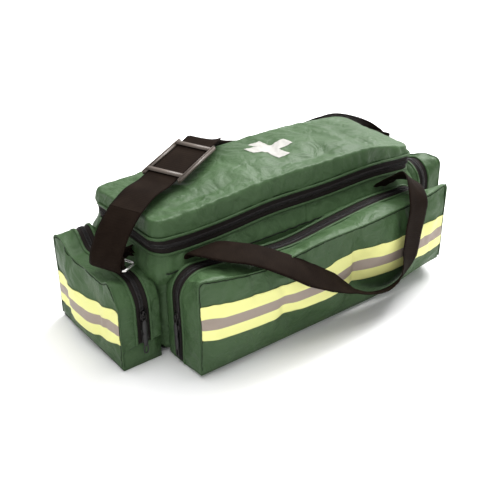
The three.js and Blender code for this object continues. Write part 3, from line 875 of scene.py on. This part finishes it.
class Band:
    """A strip between two rails. near and far give each rail's place at a share of its run."""

    def __init__(self, near, far):
        self.near, self.far = near, far
        middles = [self.middle(step / RAIL_SAMPLES) for step in range(RAIL_SAMPLES + 1)]
        self.reach = [0.0]
        for before, after in zip(middles, middles[1:]):
            self.reach.append(self.reach[-1] + (after - before).length)
        self.length = self.reach[-1]

    def middle(self, share):
        return (self.near(share) + self.far(share)) / 2

    def frame(self, length):
        """Along the strip, across it and out of it, as a matrix at that length."""
        step = min(max(bisect.bisect_right(self.reach, length) - 1, 0), RAIL_SAMPLES - 1)
        start, end = self.reach[step:step + 2]
        share = (step + (length - start) / (end - start)) / RAIL_SAMPLES
        share = min(max(share, 0), 1)
        before, after = max(share - 1 / RAIL_SAMPLES, 0), min(share + 1 / RAIL_SAMPLES, 1)
        along = (self.middle(after) - self.middle(before)).normalized()
        side = self.far(share) - self.near(share)
        side = (side - along * side.dot(along)).normalized()
        frame = Matrix((along, side, side.cross(along))).transposed().to_4x4()
        frame.translation = self.middle(share)
        return frame

    def nearest(self, point):
        """The length at which the strip comes nearest to a point."""
        best = min(range(RAIL_SAMPLES + 1), key=lambda i: (self.middle(i / RAIL_SAMPLES) - point).length)
        return self.reach[best]

    def tube(self, across, up, wide, high, around=10):
        """A closed rounded strip that follows the band at an offset."""
        steps = round(self.length / BAND_CELL)
        frames = [self.frame(self.length * step / steps) for step in range(steps + 1)]

        def place(i, j):
            over, rise = oval(j, around, wide, high)
            return frames[i] @ Vector((0, across + over, up + rise))

        return sweep(steps, around, place, (self.length, (wide + high) * 2))

    def stamps(self, mesh, pitch, start, across, up, size, turn=0):
        """Adds small rounded lumps at a pitch along the band."""
        count = round(self.length / pitch) - 1
        seed = bmesh.new()
        bmesh.ops.create_uvsphere(seed, u_segments=6, v_segments=4, radius=0.5)
        lump = new_piece("lump", seed)
        size_of_one = len(lump.data.vertices)
        copies = lump.modifiers.new("copies", "ARRAY")
        copies.count = count
        copies.relative_offset_displace = (0, 0, 0)
        row = bpy.data.meshes.new_from_object(lump.evaluated_get(bpy.context.evaluated_depsgraph_get()))
        shape = Matrix.Translation((0, across, up)) @ Matrix.Rotation(turn, 4, "Z")
        shape = shape @ Matrix.Diagonal((*size, 1))
        for index in range(count):
            frame = self.frame(start + (index + 0.5) * pitch) @ shape
            for number in range(index * size_of_one, (index + 1) * size_of_one):
                row.vertices[number].co = frame @ row.vertices[number].co
        mesh.from_mesh(row)
        bpy.data.objects.remove(lump)
        bpy.data.meshes.remove(row)


def zip_half(name, band, side, body, nodes):
    """One half of a zip: tape, teeth and the stitched hem it is sewn under."""
    steps = round(band.length / 0.005)
    frames = [band.frame(band.length * step / steps) for step in range(steps + 1)]
    tape_steps = 4

    def tape_place(i, j):
        share = j / tape_steps
        return frames[i] @ Vector((0, side * (0.0018 + 0.0087 * share), -0.0011 + 0.0006 * share))

    tape = new_piece(f"{name}_tape", sweep(
        steps, tape_steps, tape_place, (band.length, 0.0087), closed=False,
    ), zip_fabric)
    if side > 0:
        tape.data.flip_normals()
    thicken(tape, 0.0006, smooth=0)
    coil_mesh = band.tube(side * 0.0017, -0.0008, 0.0030, 0.0016, around=8)
    band.stamps(
        coil_mesh, TOOTH_PITCH, TOOTH_PITCH / 2 * (side > 0), side * 0.0012, 0.0001,
        (0.0012, 0.0036, 0.0017), turn=side * 0.3,
    )
    coil = new_piece(f"{name}_teeth", coil_mesh, zip_coil)
    hem_mesh = band.tube(side * 0.0113, 0.0003, 0.0042, 0.0030)
    band.stamps(hem_mesh, STITCH_PITCH, 0, side * 0.0118, 0.0015, (0.0023, 0.0008, 0.0008))
    hem = new_piece(f"{name}_hem", hem_mesh, nylon)
    for piece in (tape, coil, hem):
        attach(piece, body)
    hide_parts(*nodes)


def pocket_rail(pocket, out):
    """The line round a pocket's gusset, up one side, over the top and down the other."""
    rise = pocket.height - pocket.foot

    def rail(share):
        run = share * (rise * 2 + pocket.half_width * 2)
        if run < rise:
            square = (-pocket.half_width, pocket.foot + run)
        elif run < rise + pocket.half_width * 2:
            square = (run - rise - pocket.half_width, pocket.height)
        else:
            square = (pocket.half_width, pocket.height - (run - rise - pocket.half_width * 2))
        return pocket.place(Vector((square[0], -out, square[1])))

    return rail


zip_bands = {}
for pocket in pockets:
    band = Band(pocket_rail(pocket, pocket.zip_near), pocket_rail(pocket, pocket.zip_far))
    zip_bands[pocket.name] = band
    zip_half(f"{pocket.name}_zip_fixed_half", band, -1, "root", [f"{pocket.name}_zip_fixed"])
    zip_half(f"{pocket.name}_zip_moving_half", band, 1, f"{pocket.name}_flap", [f"{pocket.name}_zip_moving"])


def main_rail(placer, height):
    """The line of the main zip, from the right rear round the front to the left rear."""
    depth = half_depth * 2 - HINGE_REACH
    total = depth * 2 + half_length * 2

    def rail(share):
        run = share * total
        if run < depth:
            flat = (half_length, half_depth - HINGE_REACH - run)
        elif run < depth + half_length * 2:
            flat = (half_length - (run - depth), -half_depth)
        else:
            flat = (-half_length, -half_depth + (run - depth - half_length * 2))
        return placer(Vector((*flat, height)))

    return rail


main_band = Band(main_rail(body_place, tub_top), main_rail(lid_place, lid_base))
zip_bands["main"] = main_band
zip_half("main_zip_lower_half", main_band, -1, "root", ["main_zip_lower"])
zip_half("main_zip_upper_half", main_band, 1, "lid", ["main_zip_upper"])


# The hinge is a plain strip of the same nylon that closes the gap at the back, where there is no zip. It is
# made in the lid's closed position only.
hinge_run = half_length * 2 + HINGE_REACH * 2
hinge_steps = round(hinge_run / 0.006)
HINGE_ROWS = 8


def hinge_place(i, j):
    run = hinge_run * i / hinge_steps
    if run < HINGE_REACH:
        flat = (-half_length, half_depth - HINGE_REACH + run)
    elif run < HINGE_REACH + half_length * 2:
        flat = (run - HINGE_REACH - half_length, half_depth)
    else:
        flat = (half_length, half_depth - (run - HINGE_REACH - half_length * 2))
    low = body_place(Vector((*flat, tub_top - 0.002)))
    high = lid_place(Vector((*flat, lid_base + 0.002)))
    share = j / HINGE_ROWS
    outward = Vector((low.x * 0.1, low.y, 0)).normalized()
    return low.lerp(high, share) - outward * 0.0035 * math.sin(math.pi * share)


hinge_strip = new_piece("lid_hinge_strip", sweep(
    hinge_steps, HINGE_ROWS, hinge_place, (hinge_run, 0.026), closed=False,
), nylon, lining)
thicken(hinge_strip, 0.0012, inside=1)
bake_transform(hinge_strip)

# Sliders and pulls: die-cast sliders lacquered black, in pairs. Each carries a wire link, a
# moulded rubber sleeve and a loop of cord to grip with gloves on.
slider_metal = new_material("slider_metal", (0.035, 0.033, 0.032), 0.36, Metallic=0.85)
pull_rubber = new_material("pull_rubber", (0.016, 0.015, 0.015), 0.55)


def bevelled_block(mesh, frame, size, bevel, segments=2, taper=1.0):
    """A block with rounded edges, whose first end may be narrower than its second."""
    made = bmesh.ops.create_cube(mesh, size=1)["verts"]
    for vertex in made:
        narrow = taper if vertex.co.x < 0 else 1
        vertex.co = frame @ Vector((
            vertex.co.x * size[0], vertex.co.y * size[1] * narrow, vertex.co.z * size[2],
        ))
    edges = list(dict.fromkeys(edge for vertex in made for edge in vertex.link_edges))
    bmesh.ops.bevel(mesh, geom=edges, offset=bevel, segments=segments, affect="EDGES", clamp_overlap=True)


def loop_tube(frame, wide, long, wire, start):
    """A closed wire loop, wide across and long downwards, that begins at a distance down."""
    steps = 28

    def middle(i):
        angle = 2 * math.pi * (i % steps) / steps
        flat = Vector((
            math.copysign(abs(math.cos(angle)) ** 0.7, math.cos(angle)) * wide / 2,
            math.copysign(abs(math.sin(angle)) ** 0.7, math.sin(angle)) * long / 2,
            0,
        ))
        return flat + Vector((0, start + long / 2, 0))

    def place(i, j):
        along = (middle(i + 1) - middle(i - 1)).normalized()
        over, rise = oval(j, 8, wire, wire)
        return frame @ (middle(i) + along.cross(Vector((0, 0, 1))) * over + Vector((0, 0, rise)))

    return sweep(steps, 8, place)


def add_slider(name, frame, down, runner, tab):
    """A slider on the zip and the pull that hangs from it."""
    body = bmesh.new()
    bevelled_block(
        body, frame @ Matrix.Translation((0, 0, 0.0016)), (0.0125, 0.0095, 0.0013), 0.0006, taper=0.72,
    )
    bevelled_block(body, frame @ Matrix.Translation((0.002, 0, -0.0004)), (0.007, 0.0042, 0.004), 0.0006)
    bevelled_block(body, frame @ Matrix.Translation((0, 0, 0.0034)), (0.0085, 0.0026, 0.0026), 0.0011, 3)
    slider = new_piece(f"{name}_slider_body", body, slider_metal)
    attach(slider, runner)
    out = (frame.to_3x3() @ Vector((0, 0, 1))).normalized()
    down = (down - out * down.dot(out) * 0.97).normalized()
    across = down.cross(out).normalized()
    lifted = across.cross(down)
    hang = Matrix((across, down, lifted)).transposed().to_4x4()
    hang.translation = frame.translation + out * 0.0042
    link = new_piece(f"{name}_pull_link", loop_tube(hang, 0.0062, 0.0125, 0.0013, -0.002), slider_metal)
    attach(link, tab)
    rings, around = 12, 14

    def sleeve_place(i, j):
        share = i / rings
        cap = math.sqrt(max(1 - abs(2 * share - 1) ** 6, 0.06))
        wide = (0.0058 + 0.0020 * math.sin(math.pi * min(share * 1.15, 1))) * cap
        over, rise = oval(j, around, wide, wide * 0.62)
        return hang @ Vector((over, 0.0085 + 0.0245 * share, rise))

    sleeve = new_piece(f"{name}_pull_sleeve", sweep(rings, around, sleeve_place), pull_rubber)
    cord_loop = new_piece(f"{name}_pull_loop", loop_tube(hang, 0.0058, 0.0135, 0.0019, 0.0300), pull_rubber)
    for piece in (sleeve, cord_loop):
        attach(piece, tab)
    return slider, sleeve


for pocket in pockets:
    for level in ("upper", "lower"):
        low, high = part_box(f"{pocket.name}_zip_slider_{level}")
        band = zip_bands[pocket.name]
        frame = band.frame(band.nearest((low + high) / 2))
        slider, sleeve = add_slider(
            f"{pocket.name}_{level}", frame, Vector((0, 0, -1)),
            f"{pocket.name}_zip_runner_{level}", f"{pocket.name}_zip_tab_{level}",
        )
        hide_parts(f"{pocket.name}_zip_slider_{level}")
        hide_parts(f"{pocket.name}_zip_pull_{level}")
for label in ("rear", "front"):
    low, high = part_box(f"main_zip_slider_{label}")
    frame = main_band.frame(main_band.nearest((low + high) / 2))
    slider, sleeve = add_slider(
        f"main_{label}", frame, Vector((0.15, 0, -1)), f"main_zip_runner_{label}", f"main_zip_tab_{label}",
    )
    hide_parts(f"main_zip_slider_{label}")
    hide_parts(f"main_zip_pull_{label}")

# ---------------------------------------------------------------------------------------------
# Webbing: 50 mm polypropylene webbing, dark brown, with a dense ribbed weave. It makes the two
# carry handles, the shoulder strap and the tabs that hold the rings.
WEBBING_WIDTH = 0.050
WEBBING_THICKNESS = 0.0021
webbing = new_material("webbing", (0.009, 0.006, 0.004), 0.8, Specular_IOR_Level=0.04)
uneven_colour(webbing, (0.0085, 0.0050, 0.0034), (0.0140, 0.0088, 0.0060), 40)
woven_bump(webbing, "UV", 420, 0.0006, ribs=520)
MM = 0.001
STEPS_PER_SPAN = 7


def run_through(stations):
    """A smooth line of (place, across) through stations of [place], [across] in millimetres."""
    places = [Vector(place) * MM for place, _ in stations]
    sides = [Vector(side).normalized() for _, side in stations]
    places = [places[0] * 2 - places[1], *places, places[-1] * 2 - places[-2]]
    line = []
    for i in range(1, len(places) - 2):
        before, start, end, after = places[i - 1:i + 3]
        span = (end - start).length
        leave = (end - before) * span / ((start - before).length + span)
        arrive = (after - start) * span / ((after - end).length + span)
        curve = geometry.interpolate_bezier(
            start, start + leave / 3, end - arrive / 3, end, STEPS_PER_SPAN + 1,
        )
        for step, place in enumerate(curve[:-1]):
            side = sides[i - 1].lerp(sides[i], step / STEPS_PER_SPAN).normalized()
            line.append((place, side))
    line.append((places[-2], sides[-1]))
    return line


def webbing_strip(name, stations, cup=0.0012, width=WEBBING_WIDTH):
    """A length of webbing with rounded selvedges that follows its stations."""
    line = run_through(stations)
    columns = 12
    frames = []
    for i, (place, side) in enumerate(line):
        along = (line[min(i + 1, len(line) - 1)][0] - line[max(i - 1, 0)][0]).normalized()
        frames.append((place, side, along.cross(side).normalized()))
    length = sum((after[0] - before[0]).length for before, after in zip(line, line[1:]))

    def place_at(i, j):
        place, side, up = frames[i]
        step = j % (columns * 2)
        way = 1 if step < columns else -1
        share = (step if way > 0 else columns * 2 - step) / columns * 2 - 1
        edge = math.sqrt(max(1 - abs(share) ** 14, 0))
        rise = way * WEBBING_THICKNESS / 2 * edge - cup * (share ** 2 - 0.4)
        return place + side * share * width / 2 + up * rise

    mesh = sweep(len(line) - 1, columns * 2, place_at, (length, width * 2))
    piece = new_piece(name, mesh, webbing)
    return piece


# Front handle: both ends are sewn into the seam over the front pocket. It lies over the pocket's
# top at both ends and its middle hangs down across the pocket's face.
front_handle = webbing_strip("front_carry_webbing", [
    [(-170, -87, 133), (1, 0, 0)],
    [(-170, -91, 146), (1, 0, 0)],
    [(-164, -105, 150), (0.92, 0.38, 0)],
    [(-150, -128, 151), (0.75, 0.65, 0.05)],
    [(-127, -153, 149), (0.7, 0.7, 0.05)],
    [(-92, -173, 131), (0.72, 0.68, 0.08)],
    [(-56, -182, 107), (0.75, 0.64, 0.13)],
    [(-18, -184, 82), (0.72, 0.69, 0)],
    [(4, -185, 66), (0.68, 0.7, -0.22)],
    [(22, -187, 54), (0.58, 0.7, -0.42)],
    [(50, -188, 40), (0.52, 0.69, -0.49)],
    [(82, -188, 33), (0.52, 0.69, -0.49)],
    [(108, -186, 37), (0.58, 0.62, -0.52)],
    [(126, -182, 49), (0.7, 0.45, -0.55)],
    [(137, -178, 68), (0.86, 0.2, -0.45)],
    [(142, -177, 104), (0.9, 0.18, -0.4)],
    [(148, -176, 138), (0.9, 0.15, -0.42)],
    [(156, -164, 161), (0.7, -0.2, -0.68)],
    [(170, -140, 166), (0.74, -0.1, -0.62)],
    [(175, -115, 157), (0.85, 0.1, -0.4)],
    [(171, -96, 148), (1, 0.05, -0.1)],
    [(170, -90, 143), (1, 0, 0)],
    [(170, -87, 133), (1, 0, 0)],
])
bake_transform(front_handle)
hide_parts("front_handle")

# Rear handle: the same webbing, sewn to the back of the bag under the hinge and hanging in a U.
REAR_ANCHOR = 170


def rear_side(side):
    """The stations of one leg of the rear handle, from its seam down."""
    return [
        [(side * REAR_ANCHOR, 87, 132), (1, 0, 0)],
        [(side * REAR_ANCHOR, 93, 139), (1, 0, 0)],
        [(side * REAR_ANCHOR, 100, 137), (1, 0, 0)],
        [(side * (REAR_ANCHOR - 1), 105, 122), (1, 0, -side * 0.1)],
        [(side * (REAR_ANCHOR - 16), 106, 84), (0.9, 0, -side * 0.45)],
        [(side * (REAR_ANCHOR - 60), 107, 47), (0.5, 0, -side * 0.87)],
    ]


def turned(stations):
    """The same stations in the other order, with the webbing's edges kept on their own sides."""
    return [[place, tuple(-value for value in side)] for place, side in reversed(stations)]


rear_handle = webbing_strip(
    "rear_carry_webbing", rear_side(-1) + [[(0, 108, 34), (0, 0, 1)]] + turned(rear_side(1)),
)
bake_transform(rear_handle)
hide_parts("rear_handle")

# Rings: rectangular rings of round steel wire, nickel plated, one over each end pocket. The strap
# folds round the outer bar and a short tab of webbing holds the inner one.
ring_metal = new_material("ring_metal", (0.72, 0.71, 0.69), 0.24, Metallic=1.0)
RING_WIRE = 0.004
RING_DEPTH = 0.028
RING_ACROSS = 0.059
RING_TURN = math.radians(24)
RING_TAB_WIDTH = 0.025
RING_TAB_SHIFT = 0.008
RING_PLACE = Vector((0.274, 0.042, 0.1395))
STRAP_ACROSS = (0.394, -0.919, 0)


def ring_loop(step, steps):
    """The centre line of a ring's wire, flat in the ring's own plane."""
    half_out, half_side = (RING_DEPTH - RING_WIRE) / 2, (RING_ACROSS - RING_WIRE) / 2
    angle = 2 * math.pi * step / steps
    flat = Vector((math.cos(angle), math.sin(angle), 0))
    reach = (abs(flat.x / half_out) ** 9 + abs(flat.y / half_side) ** 9) ** (-1 / 9)
    return flat * reach


rings = {}
for name, side in (("left", -1), ("right", 1)):
    frame = Matrix.Translation((side * RING_PLACE.x, side * RING_PLACE.y, RING_PLACE.z))
    frame = frame @ Matrix.Rotation(RING_TURN + (math.pi if side < 0 else 0), 4, "Z")
    rings[name] = frame
    steps = 72

    def ring_place(i, j):
        along = (ring_loop(i + 1, steps) - ring_loop(i - 1, steps)).normalized()
        over, rise = oval(j, 10, RING_WIRE, RING_WIRE)
        beside = along.cross(Vector((0, 0, 1))) * over
        return frame @ (ring_loop(i % steps, steps) + beside + Vector((0, 0, rise)))

    ring = new_piece(f"{name}_strap_ring", sweep(steps, 10, ring_place), ring_metal)
    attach(ring, f"{name}_ring")
    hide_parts(f"{name}_d_ring")

    bar = frame @ Vector((-(RING_DEPTH - RING_WIRE) / 2, -RING_TAB_SHIFT, 0)) / MM
    out = frame.to_3x3() @ Vector((1, 0, 0))
    on_bar = frame.to_3x3() @ Vector((0, side, 0))
    on_wall = Vector((0, side, 0))
    wall_x = side * (half_length / MM - 2)
    leaving = Vector((wall_x, bar.y - side * 8, 0))
    tab = webbing_strip(f"{name}_ring_webbing", [
        [(leaving.x, leaving.y, bar.z - 4), on_wall],
        [(leaving.x + side * 9, leaving.y + side * 4, bar.z + 4), on_bar + on_wall],
        [tuple(bar + Vector((0, 0, 3.4))), on_bar],
        [tuple(bar + out * 3.2 + Vector((0, 0, 0.4))), on_bar],
        [tuple(bar + Vector((0, 0, -3.4))), on_bar],
        [(leaving.x + side * 9, leaving.y + side * 4, bar.z - 1.5), on_bar + on_wall],
        [(leaving.x, leaving.y, bar.z - 8), on_wall],
    ], cup=0, width=RING_TAB_WIDTH)
    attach(tab, "root")
    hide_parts(f"{name}_ring_tab")


def fold_round(name):
    """The stations of webbing that comes out of a ring and folds round its outer bar."""
    bar = rings[name] @ Vector(((RING_DEPTH - RING_WIRE) / 2, 0, 0)) / MM
    out = rings[name].to_3x3() @ Vector((1, 0, 0))
    return [
        [tuple(bar - out * 6 + Vector((0, 0, 17))), STRAP_ACROSS],
        [tuple(bar - out * 4.2 + Vector((0, 0, 4))), STRAP_ACROSS],
        [tuple(bar + Vector((0, 0, -3.8))), STRAP_ACROSS],
        [tuple(bar + out * 3.6 + Vector((0, 0, 1))), STRAP_ACROSS],
    ]


# Shoulder strap: from the left ring up over the lid, down behind the bag and back to the right
# ring. It is one length, cut where it passes from the bag to the lid and back.
strap_left = webbing_strip("shoulder_webbing_left", fold_round("left") + [
    [(-284.5, -48, 158), STRAP_ACROSS],
    [(-269.5, -46, 186), STRAP_ACROSS],
    [(-247, -38.5, 205.5), STRAP_ACROSS],
], cup=0.0004)
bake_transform(strap_left)
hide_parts("shoulder_strap_left")

axis_start = Vector((-185, -8, 213))
axis_end = Vector((-73, 40, 232))
over_axis = [[tuple(axis_start.lerp(axis_end, share)), STRAP_ACROSS] for share in (0, 0.1, 0.5, 0.9, 1)]
strap_over = webbing_strip("shoulder_webbing_over_lid", [
    [(-247, -38.5, 205.5), STRAP_ACROSS],
    [(-215, -21, 212.5), STRAP_ACROSS],
    *over_axis,
    [(-65, 47, 226), (0.43, -0.88, 0.2)],
    [(-55, 57, 216), (0.45, -0.8, 0.4)],
    [(-43, 71, 208), (0.45, -0.76, 0.47)],
    [(-34, 81, 201), (0.45, -0.72, 0.53)],
], cup=0.0004)
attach(strap_over, "lid")
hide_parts("shoulder_strap_over_lid")

strap_rear = webbing_strip("shoulder_webbing_rear", [
    [(-34, 81, 201), (0.45, -0.72, 0.53)],
    [(-12, 102, 176), (0.2, -0.45, 0.87)],
    [(22, 112, 159), (0, -0.2, 1)],
    [(70, 112, 150), (0, -0.15, 1)],
    [(150, 112, 157), (-0.25, -0.45, 0.86)],
    [(212, 109, 173), (-0.5, -0.69, 0.52)],
    [(252, 106, 170), (-0.52, -0.69, 0.5)],
    [(282, 80, 158), (-0.2, -0.9, 0.4)],
] + fold_round("right")[::-1])
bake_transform(strap_rear)
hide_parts("shoulder_strap_rear")

# Adjuster: a moulded nylon ladder frame that slides along the strap, with two bars over the
# webbing, one under it, and rounded rail ends.
# Painted light: the frame is near-black plastic, and its grey-brown colour paints in the sheen of the strong
# key light. The noise over it is random tone.
adjuster_plastic = new_material("adjuster_plastic", (0.1, 0.078, 0.064), 0.45)
uneven_colour(adjuster_plastic, (0.088, 0.068, 0.055), (0.115, 0.091, 0.074), 60)
ADJUSTER_LENGTH = 0.094
ADJUSTER_RAIL = 0.0055
ADJUSTER_BAR = 0.008
along = (axis_end - axis_start).normalized()
across = Vector(STRAP_ACROSS)
across = (across - along * across.dot(along)).normalized()
adjuster_frame = Matrix((along, across, along.cross(across))).transposed().to_4x4()
if adjuster_frame[2][2] < 0:
    adjuster_frame = Matrix((along, -across, along.cross(-across))).transposed().to_4x4()
adjuster_frame.translation = (axis_start + axis_end) / 2 * MM
adjuster_mesh = bmesh.new()
rail_place = WEBBING_WIDTH / 2 + 0.0008 + ADJUSTER_RAIL / 2
for way in (-1, 1):
    bevelled_block(
        adjuster_mesh, adjuster_frame @ Matrix.Translation((0, way * rail_place, 0.0002)),
        (ADJUSTER_LENGTH, ADJUSTER_RAIL, 0.0085), 0.0024, 4,
    )
    bevelled_block(
        adjuster_mesh, adjuster_frame @ Matrix.Translation((way * (ADJUSTER_LENGTH / 2 - 0.011), 0, 0.0031)),
        (ADJUSTER_BAR, rail_place * 2, 0.0028), 0.0011, 3,
    )
bevelled_block(
    adjuster_mesh, adjuster_frame @ Matrix.Translation((0, 0, -0.0031)),
    (ADJUSTER_BAR, rail_place * 2, 0.0028), 0.0011, 3,
)
adjuster = new_piece("strap_adjuster_frame", adjuster_mesh, adjuster_plastic)
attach(adjuster, "adjuster")
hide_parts("strap_adjuster")

# ---------------------------------------------------------------------------------------------
# Emblem: a plain white cross of coated film, heat-pressed flat on the lid's cloth, so it takes
# the cloth's creases.
EMBLEM_SPAN = 0.074
EMBLEM_ARM = 0.024
EMBLEM_PLACE = Vector((0.018, 0.005, 0))
EMBLEM_CELLS = 37
emblem_white = new_material("emblem_white", (0.40, 0.39, 0.365), 0.55, Specular_IOR_Level=0.2)
emblem_mesh = bmesh.new()
bmesh.ops.create_grid(emblem_mesh, x_segments=EMBLEM_CELLS, y_segments=EMBLEM_CELLS, size=EMBLEM_SPAN / 2)
beyond = [
    face for face in emblem_mesh.faces
    if min(abs(face.calc_center_median().x), abs(face.calc_center_median().y)) > EMBLEM_ARM / 2
]
bmesh.ops.delete(emblem_mesh, geom=beyond, context="FACES")
lid_tree = tree_of(main_lid)
for vertex in emblem_mesh.verts:
    above = vertex.co + EMBLEM_PLACE + Vector((0, 0, 0.4))
    hit = lid_tree.ray_cast(above, Vector((0, 0, -1)))[0]
    vertex.co = hit + Vector((0, 0, 0.0006))
emblem = new_piece("lid_cross", emblem_mesh, emblem_white)
thicken(emblem, 0.0004)
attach(emblem, "lid")
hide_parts("lid_emblem")

# ---------------------------------------------------------------------------------------------
# Inside: a stiff lined board on the bottom and two padded dividers that stand on it and can be
# moved along the bag.
def puffed_panel(name, node, swell):
    """A panel over a CAD node that is thinner at its edges than in its middle."""
    low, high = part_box(node)
    mesh = box_surface(low, high, cell=0.008)
    thin = min(range(3), key=lambda axis: high[axis] - low[axis])
    middle, half = (low + high) / 2, (high - low) / 2
    wide = [axis for axis in range(3) if axis != thin]
    for vertex in mesh.verts:
        edge = max(abs(vertex.co[axis] - middle[axis]) / half[axis] for axis in wide)
        scale = 1 - swell * edge ** 8
        vertex.co[thin] = middle[thin] + (vertex.co[thin] - middle[thin]) * scale
    piece = new_piece(name, mesh, lining)
    rounding = piece.modifiers.new("smooth", "SUBSURF")
    rounding.levels = 1
    rounding.render_levels = 1
    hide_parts(node)
    return piece


board = puffed_panel("bottom_board", "base_board", 0.2)
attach(board, "root")
for name in ("left", "right"):
    divider = puffed_panel(f"{name}_padded_divider", f"divider_{name}", 0.55)
    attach(divider, f"{name}_divider")
